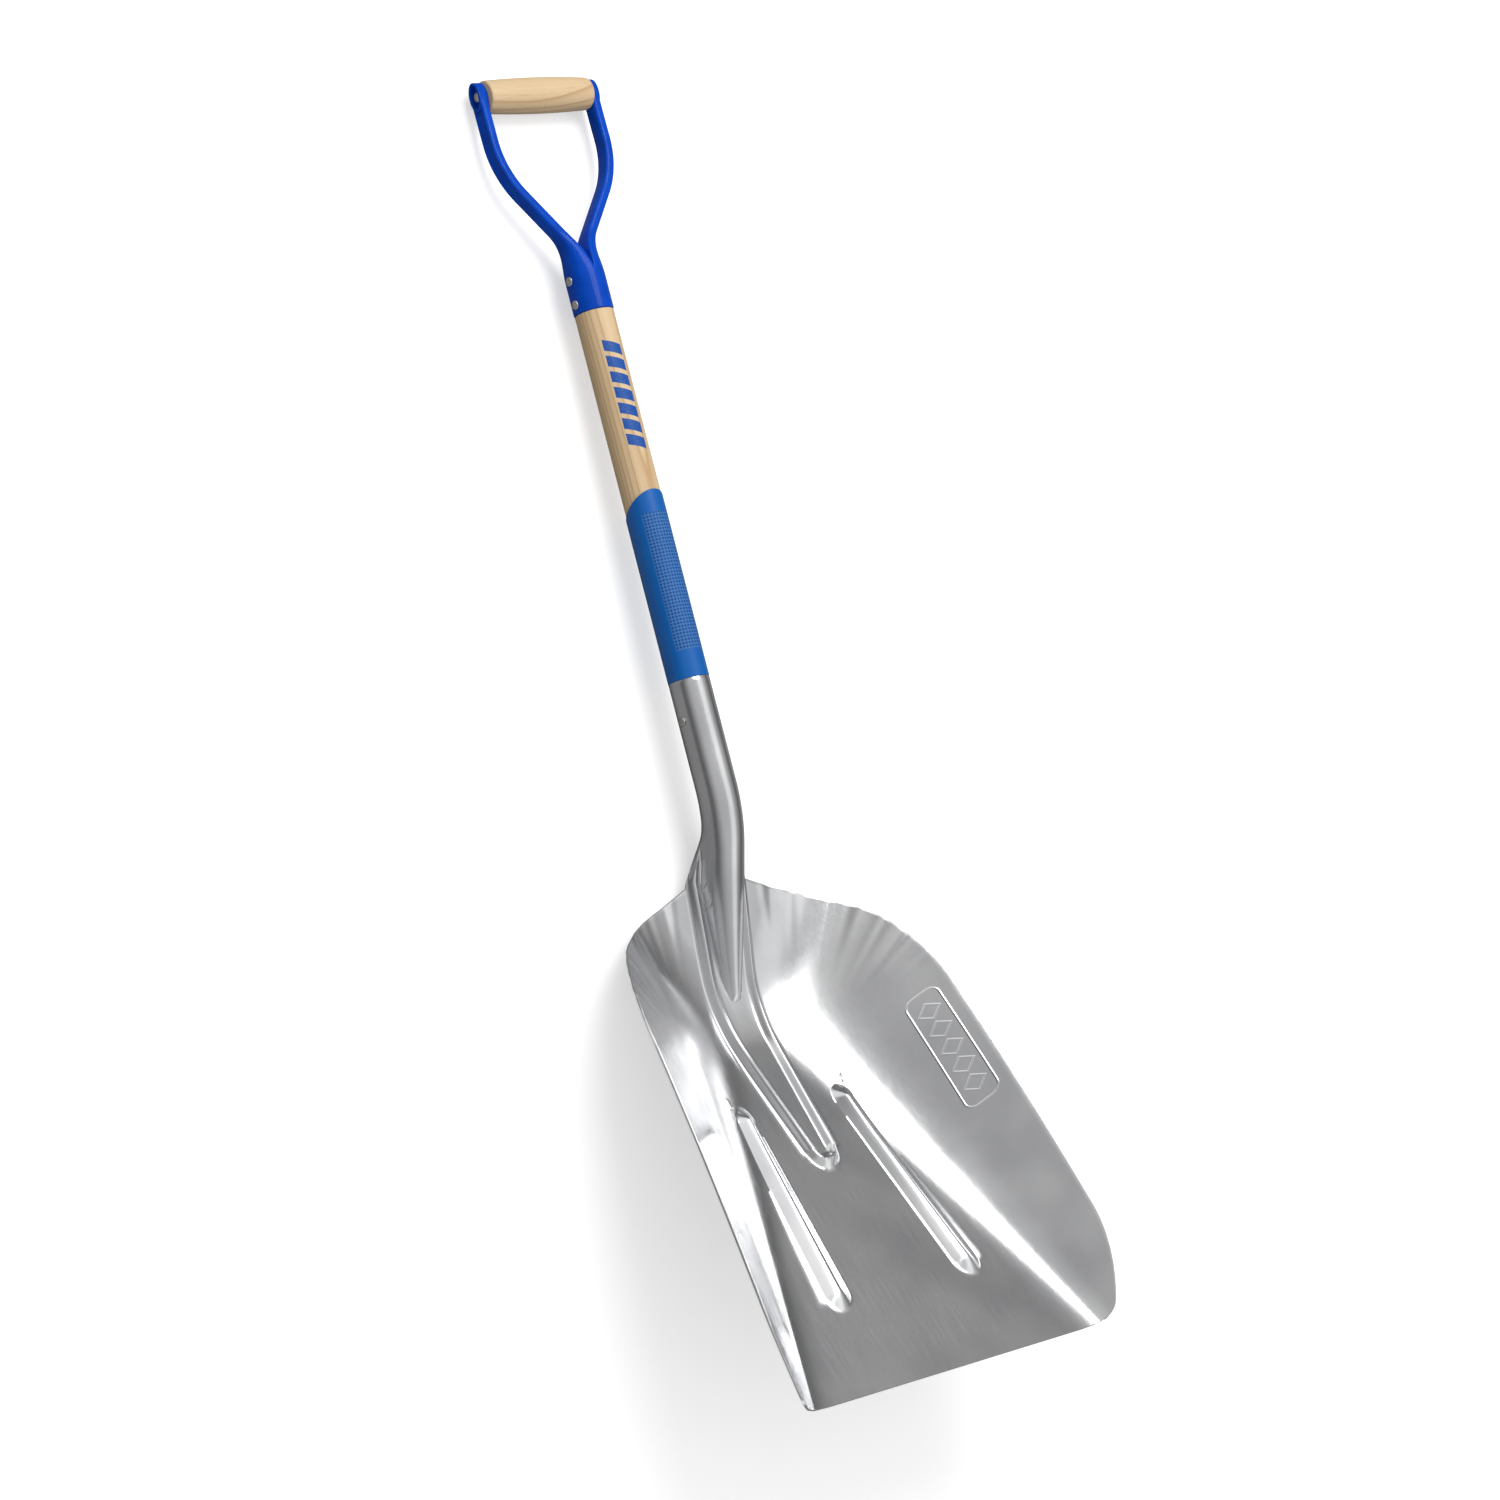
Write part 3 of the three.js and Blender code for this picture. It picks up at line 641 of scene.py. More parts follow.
class Dressing:
    """A new material with its shader, ready for a finish to wire."""

    def __init__(self, name: str, frame_pose: Matrix, **shader: object) -> None:
        """Start a material.

        Args:
            name: Name of the material.
            frame_pose: Frame in which its patterns are drawn.
            shader: Values of the shader's own sockets, spaces written as underscores.
        """
        self.material = bpy.data.materials.new(name)
        self.material.use_nodes = True
        self.tree = Tree(self.material.node_tree)
        self.shader = self.material.node_tree.nodes["Principled BSDF"]
        for key, value in shader.items():
            self.shader.inputs[key.replace("_", " ")].default_value = value
        position, turn_by, _ = frame_pose.decompose()
        object_place = self.tree.add("ShaderNodeTexCoord").outputs["Object"]
        mapping = self.tree.add("ShaderNodeMapping", {"Vector": object_place}, vector_type="TEXTURE")
        mapping.inputs["Location"].default_value = position
        mapping.inputs["Rotation"].default_value = turn_by.to_euler()
        self.place = mapping.outputs[0]

    def group(self, tree: bpy.types.NodeTree, **values: float) -> bpy.types.Node:
        """Place a shared group, fed with the pattern's place."""
        inputs = {"Vector": self.place, **values}
        node = self.tree.tree.nodes.new("ShaderNodeGroup")
        node.node_tree = tree
        for key, value in inputs.items():
            if isinstance(value, bpy.types.NodeSocket):
                self.tree.tree.links.new(value, node.inputs[key])
            else:
                node.inputs[key].default_value = value
        return node

    def feed(self, socket: str, value: bpy.types.NodeSocket) -> None:
        """Wire a value into one of the shader's sockets."""
        self.tree.tree.links.new(value, self.shader.inputs[socket])

    def bump(self, height: bpy.types.NodeSocket, depth: float, strength: float = 1.0) -> None:
        """Raise the surface by a height pattern.

        Args:
            height: The pattern, 0 to 1.
            depth: Height of its full range in millimetres.
            strength: Strength of the effect.
        """
        inputs = {"Height": height, "Distance": depth * MM, "Strength": strength}
        self.feed("Normal", self.tree.add("ShaderNodeBump", inputs).outputs[0])


@dataclass(frozen=True)
class Aluminium:
    """Bright rolled sheet with a fine drawn grain and a plain raised outline on one wall."""

    colour: tuple[float, float, float, float] = (0.87, 0.872, 0.88, 1)
    dull: tuple[float, float, float, float] = (0.62, 0.625, 0.64, 1)
    roughness: float = 0.165
    stamp_at: tuple[float, float, float] = (0.150, -0.066, 0.0)
    stamp_turn: float = math.radians(96)

    def make(self, groups: Groups, pose: Matrix) -> bpy.types.Material:
        """Build the material in the given frame."""
        coat = Dressing("blade_aluminium", pose, Metallic=1.0)
        marks = coat.group(groups.streaks, Fineness=620.0, Stretch=0.035)
        tree = coat.tree
        cloud = tree.spread(marks.outputs["Cloud"], 0.35, 0.65, 0.0, 1.0)
        broad = tree.add("ShaderNodeTexNoise",
                         {"Vector": coat.place, "Scale": 9.0, "Detail": 2.0}).outputs[0]
        patch = tree.math("MULTIPLY", tree.spread(broad, 0.4, 0.62, 0.0, 1.0), 0.55)
        patch = tree.math("ADD", patch, tree.math("MULTIPLY", cloud, 0.4))
        colour = tree.blend(patch, self.colour, self.dull)
        edge = coat.group(groups.wear_and_highlight, Reach=0.09).outputs["Edge"]
        bright = tree.math("MULTIPLY", edge, 0.3)
        coat.feed("Base Color", tree.blend(bright, colour, (0.93, 0.93, 0.94, 1)))
        streak = tree.spread(marks.outputs["Streak"], 0.3, 0.7, -0.03, 0.04)
        speck = tree.spread(marks.outputs["Speck"], 0.35, 0.65, -0.012, 0.012)
        rough = tree.math("ADD", tree.math("ADD", streak, self.roughness), speck)
        coat.feed("Roughness", tree.math("ADD", rough, tree.math("MULTIPLY", cloud, 0.06)))
        on_wall = tree.add("ShaderNodeMapping", {"Vector": coat.place}, vector_type="TEXTURE")
        on_wall.inputs["Location"].default_value = self.stamp_at
        on_wall.inputs["Rotation"].default_value = (0, 0, self.stamp_turn)
        outline = coat.group(groups.outline, Vector=on_wall.outputs[0]).outputs["Line"]
        across = tree.add("ShaderNodeSeparateXYZ", {0: coat.place}).outputs[0]
        outline = tree.math("MULTIPLY", outline, tree.math("GREATER_THAN", across, 0.0))
        height = tree.math("ADD", tree.math("MULTIPLY", marks.outputs["Streak"], 0.008),
                           tree.math("MULTIPLY", cloud, 0.012))
        coat.bump(tree.math("ADD", height, outline), 0.32)
        return coat.material


@dataclass(frozen=True)
class Ash:
    """Pale ash, sanded along the grain and thinly lacquered."""

    name: str
    heart: float
    spacing: float
    pale: tuple[float, float, float, float] = (0.84, 0.63, 0.385, 1)
    late: tuple[float, float, float, float] = (0.56, 0.33, 0.15, 1)
    pore: tuple[float, float, float, float] = (0.36, 0.19, 0.075, 1)

    def make(self, groups: Groups, pose: Matrix) -> bpy.types.Material:
        """Build the material in the given frame."""
        return self.lay(groups, pose)[0].material

    def lay(self, groups: Groups, pose: Matrix) -> tuple[Dressing, bpy.types.NodeSocket]:
        """Wire the wood.

        Args:
            groups: Shared shader groups.
            pose: Place of the frame that its grain is drawn in.

        Returns:
            The dressing and the wood's colour, for any marking that goes over it.
        """
        coat = Dressing(self.name, pose, Specular_IOR_Level=0.3, Coat_Weight=0.1,
                        Coat_Roughness=0.3)
        tree = coat.tree
        grain = coat.group(groups.grain, Heart=self.heart, Spacing=self.spacing)
        ring = tree.math("MULTIPLY", grain.outputs["Ring"], 0.85)
        colour = tree.blend(ring, self.pale, self.late)
        fibre = tree.spread(grain.outputs["Fibre"], 0.3, 0.72, 0.0, 1.0)
        colour = tree.blend(tree.math("MULTIPLY", fibre, 0.42), colour, (0.68, 0.46, 0.235, 1))
        colour = tree.blend(tree.math("MULTIPLY", grain.outputs["Pore"], 0.45), colour, self.pore)
        coat.feed("Base Color", colour)
        coat.feed("Roughness", tree.spread(grain.outputs["Fibre"], 0.3, 0.7, 0.42, 0.6))
        hollow = tree.math("SUBTRACT", tree.math("MULTIPLY", grain.outputs["Fibre"], 0.4),
                           grain.outputs["Pore"])
        coat.bump(hollow, 0.06, 0.7)
        return coat, colour


@dataclass(frozen=True)
class PrintedBars:
    """Row of slanted bars printed on the hollow side of the shaft, in millimetres."""

    ink: tuple[float, float, float, float] = (0.004, 0.09, 0.42, 1)
    turned: float = math.radians(9)
    shaft_radius: float = 17.9
    start: float = 211
    length: float = 102
    pitch: float = 14.6
    bar_share: float = 0.72
    half_width: float = 9.2
    slant: float = 0.35
    edge: float = 0.3

    def cover(self, coat: Dressing) -> bpy.types.NodeSocket:
        """Where the ink lies, 0 to 1, slightly speckled.

        Args:
            coat: Dressing of the shaft.

        Returns:
            The mask.
        """
        tree = coat.tree
        parts = tree.add("ShaderNodeSeparateXYZ", {0: coat.place}).outputs
        angle = tree.math("ARCTAN2", parts[0], parts[2])
        turned = tree.math("ADD", angle, self.turned)
        round_it = tree.math("MULTIPLY", turned, self.shaft_radius)
        along = tree.math("DIVIDE", tree.math("SUBTRACT", parts[1], self.start * MM), MM)
        slanted = tree.math("ADD", along, tree.math("MULTIPLY", round_it, self.slant))
        step = tree.math("FRACT", tree.math("DIVIDE", slanted, self.pitch))
        off = tree.math("ABSOLUTE", tree.math("SUBTRACT", step, 0.5))
        bar = tree.math("SUBTRACT", self.bar_share / 2, off)
        tall = tree.math("SUBTRACT", self.half_width, tree.math("ABSOLUTE", round_it))
        mask = tree.math("MULTIPLY", tree.spread(bar, 0.0, 0.02, 0.0, 1.0),
                         tree.spread(tall, 0.0, self.edge, 0.0, 1.0))
        starts = tree.spread(slanted, 0.0, self.edge, 0.0, 1.0)
        ends = tree.spread(slanted, self.length, self.length + self.edge, 1.0, 0.0)
        mask = tree.math("MULTIPLY", tree.math("MULTIPLY", mask, starts), ends)
        speck = tree.add("ShaderNodeTexNoise",
                         {"Vector": coat.place, "Scale": 900.0, "Detail": 2.0}).outputs[0]
        return tree.math("MULTIPLY", mask, tree.spread(speck, 0.3, 0.42, 0.8, 1.0))


@dataclass(frozen=True)
class Enamel:
    """Glossy blue enamel, slightly uneven, with a painted highlight of lighter blue along its edges."""

    colour: tuple[float, float, float, float] = (0.0004, 0.078, 0.6, 1)
    deep: tuple[float, float, float, float] = (0.0004, 0.05, 0.42, 1)
    # Lighter blue of the painted edge highlight.
    highlight_blue: tuple[float, float, float, float] = (0.02, 0.16, 0.72, 1)

    def make(self, groups: Groups, pose: Matrix) -> bpy.types.Material:
        """Build the material in the given frame."""
        coat = Dressing("yoke_enamel", pose, Specular_IOR_Level=0.06,
                        Coat_Weight=0.16, Coat_Roughness=0.04)
        tree = coat.tree
        flow = tree.add("ShaderNodeTexNoise",
                        {"Vector": coat.place, "Scale": 55.0, "Detail": 2.0}).outputs[0]
        shade = tree.spread(flow, 0.35, 0.65, 0.0, 1.0)
        colour = tree.blend(tree.math("MULTIPLY", shade, 0.5), self.colour, self.deep)
        # Painted highlight: the edge mask lightens the blue along the rounded edges.
        edge = coat.group(groups.wear_and_highlight, Reach=0.12).outputs["Edge"]
        edge_highlight = tree.math("MULTIPLY", edge, 0.25)
        coat.feed("Base Color", tree.blend(edge_highlight, colour, self.highlight_blue))
        peel = tree.add("ShaderNodeTexNoise",
                        {"Vector": coat.place, "Scale": 320.0, "Detail": 1.0}).outputs[0]
        height = tree.math("ADD", tree.math("MULTIPLY", peel, 0.12), tree.math("MULTIPLY", flow, 0.9))
        coat.bump(height, 0.14)
        coat.feed("Roughness", tree.spread(peel, 0.3, 0.7, 0.24, 0.36))
        return coat.material


@dataclass(frozen=True)
class SleeveBlue:
    """Moulded blue plastic with a stippled gripping patch along the hollow side, its ridges carrying a
    painted sheen.
    """

    colour: tuple[float, float, float, float] = (0.002, 0.14, 0.52, 1)
    dot: tuple[float, float, float, float] = (0.002, 0.06, 0.26, 1)
    # Pale blue of the painted sheen on the patch.
    sheen: tuple[float, float, float, float] = (0.1, 0.24, 0.5, 1)
    pitch: float = 3.1
    patch_from: float = 25.0
    patch_to: float = 153.0
    patch_half: float = 17.6

    def make(self, groups: Groups, pose: Matrix) -> bpy.types.Material:
        """Build the material in the given frame; dots follow the sleeve's own map in metres."""
        coat = Dressing("sleeve_blue", pose, Specular_IOR_Level=0.25, Coat_Roughness=0.16)
        tree = coat.tree
        wrap = tree.add("ShaderNodeUVMap", uv_map="wrap").outputs[0]
        parts = tree.add("ShaderNodeSeparateXYZ", {0: wrap}).outputs
        round_it, along = parts[0], parts[1]
        fade = 1.2 * MM
        side = tree.math("ABSOLUTE", round_it)
        inside = tree.spread(side, self.patch_half * MM - fade, self.patch_half * MM, 1.0, 0.0)
        above = tree.spread(along, self.patch_from * MM, self.patch_from * MM + fade, 0.0, 1.0)
        below = tree.spread(along, self.patch_to * MM - fade, self.patch_to * MM, 1.0, 0.0)
        patch = tree.math("MULTIPLY", tree.math("MULTIPLY", inside, above), below)
        dots = tree.add("ShaderNodeTexVoronoi",
                        {"Vector": wrap, "Scale": 1 / (self.pitch * MM), "Randomness": 0.0},
                        voronoi_dimensions="2D")
        near = tree.spread(dots.outputs["Distance"], 0.2, 0.36, 1.0, 0.0)
        ridge = tree.spread(dots.outputs["Distance"], 0.3, 0.42, 0.0, 1.0)
        grit = tree.add("ShaderNodeTexNoise",
                        {"Vector": coat.place, "Scale": 1300.0, "Detail": 2.0}).outputs[0]
        drift = tree.add("ShaderNodeTexNoise",
                         {"Vector": coat.place, "Scale": 40.0, "Detail": 2.0}).outputs[0]
        mottle = tree.spread(drift, 0.35, 0.65, 0.0, 0.35)
        base = tree.blend(mottle, self.colour, (0.002, 0.105, 0.44, 1))
        # Painted sheen: the ridges between the dots are lightened towards a pale blue.
        painted_sheen = tree.math("MULTIPLY", patch, tree.spread(grit, 0.3, 0.7, 0.35, 0.8))
        base = tree.blend(tree.math("MULTIPLY", painted_sheen, ridge), base, self.sheen)
        base = tree.blend(tree.math("MULTIPLY", patch, near), base, self.dot)
        coat.feed("Base Color", base)
        rough = tree.math("ADD", tree.spread(drift, 0.3, 0.7, 0.27, 0.36),
                          tree.math("MULTIPLY", patch, 0.2))
        coat.feed("Roughness", rough)
        shine = tree.math("SUBTRACT", 0.3, tree.math("MULTIPLY", patch, 0.25))
        coat.feed("Coat Weight", shine)
        stipple = tree.math("MULTIPLY", tree.math("ADD", tree.math("MULTIPLY", near, -1.0),
                                                  tree.math("MULTIPLY", grit, 0.3)), patch)
        height = tree.math("ADD", stipple, tree.math("MULTIPLY", drift, 0.05))
        coat.bump(height, 0.22, 0.8)
        return coat.material


@dataclass(frozen=True)
class Steel:
    """Plain bright steel of the pins, dimpled by the hammer."""

    colour: tuple[float, float, float, float] = (0.66, 0.65, 0.62, 1)
    dark: tuple[float, float, float, float] = (0.4, 0.385, 0.36, 1)

    def make(self, groups: Groups, pose: Matrix) -> bpy.types.Material:
        """Build the material in the given frame."""
        coat = Dressing("rivet_steel", pose, Metallic=1.0)
        tree = coat.tree
        marks = coat.group(groups.streaks, Fineness=1500.0, Stretch=1.0)
        dent = tree.add("ShaderNodeTexVoronoi",
                        {"Vector": coat.place, "Scale": 620.0}, feature="SMOOTH_F1").outputs["Distance"]
        grime = tree.spread(dent, 0.25, 0.7, 0.0, 0.7)
        edge = coat.group(groups.wear_and_highlight, Reach=0.1).outputs["Edge"]
        colour = tree.blend(grime, self.colour, self.dark)
        coat.feed("Base Color", tree.blend(edge, colour, (0.8, 0.8, 0.78, 1)))
        coat.feed("Roughness", tree.spread(marks.outputs["Streak"], 0.3, 0.7, 0.26, 0.44))
        coat.bump(tree.math("ADD", dent, tree.math("MULTIPLY", marks.outputs["Streak"], 0.3)), 0.16, 0.8)
        return coat.material


# ---------------------------------------------------------------- where the drawings lie


@dataclass(frozen=True)
class Lie:
    """How the shovel lies on the floor, in millimetres."""

    tilt: float = 0.521977097747955
    shift: tuple[float, float, float] = (0.0, -306.91944861442647, 20.929841813447695)
    handle_lean: float = math.radians(27.7)

    def blade(self) -> Matrix:
        """Place of the blade's frame."""
        return Matrix.Translation(Vector(self.shift) * MM) @ Matrix.Rotation(-self.tilt, 4, "X")

    def handle(self, mouth: tuple[float, float]) -> Matrix:
        """Place of the handle's frame, which starts at the mouth of the socket."""
        to_mouth = Matrix.Translation(Vector((0, mouth[0], mouth[1])) * MM)
        return self.blade() @ to_mouth @ Matrix.Rotation(self.handle_lean, 4, "X")


# ---------------------------------------------------------------- blade and socket


@dataclass(frozen=True)
class Outline:
    """Plan outline of the blade's right half."""

    front: float = -337.7
    front_half: float = 170.7
    corner_radius: float = 12
    corner_turn: float = math.radians(70.8)
    lip_radius: float = 193.6
    lip_turn: float = math.radians(24.5)
    side_length: float = 233.4
    shoulder_radius: float = 235
    shoulder_turn: float = math.radians(18.7)
    hip_radius: float = 130
    hip_turn: float = math.radians(47)
    hip_share: float = 0.5
    rear_length: float = 78.9

    def line(self) -> DrawnLine:
        """Outline from the front edge round the side to the middle line."""
        return DrawnLine(
            (self.front_half, self.front),
            0.0,
            (
                bend(self.corner_radius, self.corner_turn),
                bend(self.lip_radius, self.lip_turn),
                Run(self.side_length),
                bend(self.shoulder_radius, self.shoulder_turn),
                bend(self.hip_radius, self.hip_turn),
                Run(self.rear_length),
            ),
        )

    def corner_at(self) -> float:
        """Distance along the outline at which the rear edge is taken to start."""
        lengths = [run.length for run in self.line().runs]
        return sum(lengths[:4]) + self.hip_share * lengths[4]


@dataclass(frozen=True)
class Pan:
    """Flat bottom, flared walls and rising back."""

    crease_half: float = 64
    crease_taper: float = 0.303
    wall_slope: float = 0.82
    wall_flare: float = 0.00066
    front_fillet: float = 12
    heel_fillet: float = 40
    heel_y: float = 10
    back_radius: float = 112
    back_angle: float = math.radians(38)

    def rise(self, y: float) -> float:
        """Rise of the back above the flat bottom."""
        run = y - self.heel_y
        arc_run = self.back_radius * math.sin(self.back_angle)
        if run <= 0:
            return 0.0
        if run <= arc_run:
            return self.back_radius - math.sqrt(self.back_radius**2 - run**2)
        arc_rise = self.back_radius * (1 - math.cos(self.back_angle))
        return arc_rise + (run - arc_run) * math.tan(self.back_angle)

    def crease(self, y: float) -> float:
        """Half width of the flat bottom."""
        return self.crease_half - self.crease_taper * y

    def height(self, side: float, y: float, front: float) -> float:
        """Height of the pan."""
        wall = (self.wall_slope - self.wall_flare * y) * (side - self.crease(y))
        to_heel = clamp((y - front) / (self.heel_y - front))
        return rounded_max(self.rise(y), wall, lerp(self.front_fillet, self.heel_fillet, to_heel))


@dataclass(frozen=True)
class Bead:
    """Stiffening bead pressed up from the bottom, with rounded ends."""

    rear_x: float = 55.3
    rear_y: float = -45
    front_x: float = 75.5
    front_y: float = -259.4
    rear_half: float = 9.5
    front_half: float = 14.5
    tall: float = 7
    crown: float = 0.24

    def share(self, y: float) -> float:
        """Share of the way from the rear end to the front end."""
        return (self.rear_y - y) / (self.rear_y - self.front_y)

    def middle(self, y: float) -> float:
        """Distance out from the middle plane."""
        return lerp(self.rear_x, self.front_x, self.share(y))

    def half(self, y: float) -> float:
        """Half width."""
        return lerp(self.rear_half, self.front_half, clamp(self.share(y)))

    def height(self, side: float, y: float) -> float:
        """Height of the bead over the bottom."""
        half = self.half(y)
        across = abs(side - self.middle(y)) / half
        rear, front = self.rear_half * 1.8, self.front_half * 1.3
        into = max((y - self.rear_y + rear) / rear, (self.front_y + front - y) / front, 0)
        across = min(math.hypot(across, into), 1)
        ridge = math.hypot(1, self.crown) - math.hypot(across, self.crown)
        return self.tall * ridge / (math.hypot(1, self.crown) - self.crown)


@dataclass(frozen=True)
class Tongue:
    """Two crests joined round the tip, with a shallow valley between them."""

    tip_y: float = -124
    tip_half: float = 17
    rear_half: float = 34.5
    rear_y: float = 142.5
    crest_inset: float = 6.5
    valley_inset: float = 13
    front_spread: float = 2.4
    tip_crest: float = 6.5
    rear_crest: float = 9
    tip_valley: float = 1.5
    rear_valley: float = 5

    def up(self, y: float) -> float:
        """Share of the way from the tip to the rear."""
        return (y - self.tip_y) / (self.rear_y - self.tip_y)

    def half(self, y: float) -> float:
        """Half width."""
        return lerp(self.tip_half, self.rear_half, max(self.up(y), 0))

    def height(self, side: float, y: float) -> float:
        """Height over the pan."""
        turn_y = self.tip_y + self.tip_half
        out = self.half(y) - side if y > turn_y else self.tip_half - math.hypot(side, y - turn_y)
        if out <= 0:
            return 0.0
        up = clamp(self.up(y))
        crest = lerp(self.tip_crest, self.rear_crest, up)
        valley = lerp(self.tip_valley, self.rear_valley, up)
        outer = crest * smoothstep(out, 0, self.crest_inset)
        return outer - (crest - valley) * smoothstep(out, self.crest_inset, self.valley_inset)


@dataclass(frozen=True)
class Socket:
    """Open-backed socket that the tongue curls into."""

    radius: float = 18.7
    root_y: float = 142.4
    root_angle: float = math.radians(50)
    angle: float = math.radians(27.7)
    root_length: float = 22.5
    bend_radius: float = 140
    length: float = 96.4
    open_half: float = math.radians(17)
    curl_length: float = 48
    fade_y: float = 55
    fade: float = 0.35
    blend: float = 7
    tube_angles: tuple[float, ...] = (0, 22, 44, 64, 80, 89)

    def line(self, root_z: float) -> DrawnLine:
        """Middle line from the blade to the mouth."""
        return DrawnLine(
            (self.root_y, root_z),
            self.root_angle,
            (
                Run(self.root_length),
                bend(self.bend_radius, self.angle - self.root_angle),
                Run(self.length),
            ),
        )

    def share(self, y: float) -> float:
        """Share of its radius that the half tube keeps as it sinks into the tongue."""
        return clamp((y - self.fade_y) / (self.root_y - self.fade_y)) ** self.fade

    def height(self, side: float, y: float, root_z: float) -> float:
        """Height of the half tube below the socket, far down where there is none."""
        radius = self.radius * self.share(y)
        inside = 1 - (side / radius) ** 2 if radius > 0 else 0.0
        if inside <= 0:
            return -1e6
        steep = math.cos(self.root_angle)
        crown = root_z - (self.root_y - y) * math.tan(self.root_angle) + self.radius / steep
        return crown - radius * (1 - math.sqrt(inside)) / steep


@dataclass(frozen=True)
class Forming:
    """Faint ripples that the press leaves in the rear wings."""

    tall: float = 0.34
    reach: float = 70.0
    pitch: float = 21.0

    def height(self, side: float, y: float, to_rim: float) -> float:
        """Height of the ripples; they run in from the rear rim and die out."""
        away = clamp(1 - to_rim / self.reach)
        if away <= 0 or y < 0 or side < 40:
            return 0.0
        around = math.atan2(side - 50, y + 10) * 150
        wave = math.sin(2 * math.pi * around / self.pitch + 0.9)
        wave += 0.7 * math.sin(2 * math.pi * around / (self.pitch * 1.73) + 2.1)
        wave += 0.4 * math.sin(2 * math.pi * around / (self.pitch * 0.61) + 0.3)
        window = smoothstep(y, 0, 50) * smoothstep(side, 40, 62)
        return self.tall * wave * away**1.5 * window


@dataclass
class ScoopBlade:
    """Blade and open-backed socket, pressed from one sheet."""

    outline: Outline = field(default_factory=Outline)
    pan: Pan = field(default_factory=Pan)
    bead: Bead = field(default_factory=Bead)
    tongue: Tongue = field(default_factory=Tongue)
    socket: Socket = field(default_factory=Socket)
    forming: Forming = field(default_factory=Forming)
    sheet: float = 2.0
    front_rows: tuple[float, ...] = (0, 0.3, 0.9, 1.8, 3.2, 5.2, 8, 12, 18, 26, 36, 48, 62)
    bead_rows: int = 104
    rear_rows: int = 84
    neck_rings: int = 52

    @property
    def root_z(self) -> float:
        """Height of the socket's middle line where it leaves the blade."""
        return self.pan.rise(self.socket.root_y) + self.socket.radius

    def socket_line(self) -> DrawnLine:
        """Middle line of the socket."""
        return self.socket.line(self.root_z)

    def mouth(self) -> tuple[float, float]:
        """Middle of the socket's mouth."""
        line = self.socket_line()
        return line.at(line.length)[:2]

    def pressed(self, x: float, y: float, to_rim: float) -> Vector:
        """Place on the hollow side of the sheet.

        Args:
            x: Distance across.
            y: Distance up the blade.
            to_rim: Plan distance in from the rim.

        Returns:
            The place in millimetres.
        """
        side = abs(x)
        pressed = self.pan.height(side, y, self.outline.front)
        pressed += self.bead.height(side, y) + self.tongue.height(side, y)
        pressed = rounded_max(pressed, self.socket.height(side, y, self.root_z), self.socket.blend)
        pressed += self.forming.height(side, y, to_rim)
        return Vector((x, y, pressed))

    def tongue_stops(self, y: float) -> list[float]:
        """Distances out of the lines that follow the half tube, valley and crest."""
        half = self.tongue.half(y)
        valley = half - self.tongue.valley_inset
        crest = half - self.tongue.crest_inset
        radius = self.socket.radius * self.socket.share(y)
        tube = clamp(radius, 0.5 * valley, 0.83 * valley)
        stops = [tube * math.sin(math.radians(angle)) for angle in self.socket.tube_angles]
        stops += [lerp(tube, valley, 0.2), valley, (valley + crest) / 2]
        return [*stops, crest, (crest + half) / 2, half]

    def tongue_lane(self, lane: int, y: float) -> float:
        """Distance out of one tongue line; ahead of the tip the lines fan out."""
        tip = self.tongue.tip_y
        if y >= tip:
            return self.tongue_stops(y)[lane]
        ahead = (tip - y) / (tip - self.outline.front)
        return self.tongue_stops(tip)[lane] * lerp(1, self.tongue.front_spread, ahead)

    def crease_band(self, y: float) -> float:
        """Half width of the strip that follows the fillet along the crease."""
        ahead = clamp((self.bead.rear_y - y) / (self.bead.rear_y - self.outline.front))
        return lerp(self.pan.heel_fillet, self.pan.front_fillet, ahead) / 3

    def stations(self, y: float) -> list[float]:
        """Distances out of the main lines across a straight row, without the wall."""
        stops = [self.tongue_lane(lane, y) for lane in range(12)]
        bead = [self.bead.middle(y) + part * self.bead.half(y) for part in (-1.4, -1, -0.5, 0, 0.5, 1)]
        band = self.crease_band(y)
        crease = [self.pan.crease(y) + part * band for part in (-1, -0.3, 0.3, 1)]
        return [*stops, *bead, *crease]

    def rows(self) -> list[list[tuple[float, float]]]:
        """Rows of plan points of the right half, middle line first.

        Returns:
            Rows from the front edge to the rear edge, all of one length.
        """
        line = self.outline.line()
        corner = self.outline.corner_at()
        neck = crossing(lambda at: self.tongue.rear_half - line.at(at)[0], corner, line.length)
        rear_y = self.bead.rear_y
        bead_top = crossing(lambda at: line.at(at)[1] - rear_y, 0, corner)

        def rear_edge(share: float) -> tuple[float, float]:
            """Place along the rear edge, from the neck to the corner."""
            return line.at(lerp(neck, corner, share))[:2]

        tube_rear = []
        stops = self.tongue_stops(self.tongue.rear_y)
        for x in stops[:-1]:
            within = math.sqrt(max(self.socket.radius**2 - x**2, 0))
            tube_rear.append((x, self.socket.root_y - within * math.sin(self.socket.root_angle)))
        tube_rear.append((stops[-1], rear_edge(0)[1]))
        bead_rear = [rear_edge(0.03 + 0.076 * i) for i in range(6)]
        crease_rear = [rear_edge(0.5 + 0.09 * i) for i in range(4)]
        rears = [*tube_rear, *bead_rear, *crease_rear]

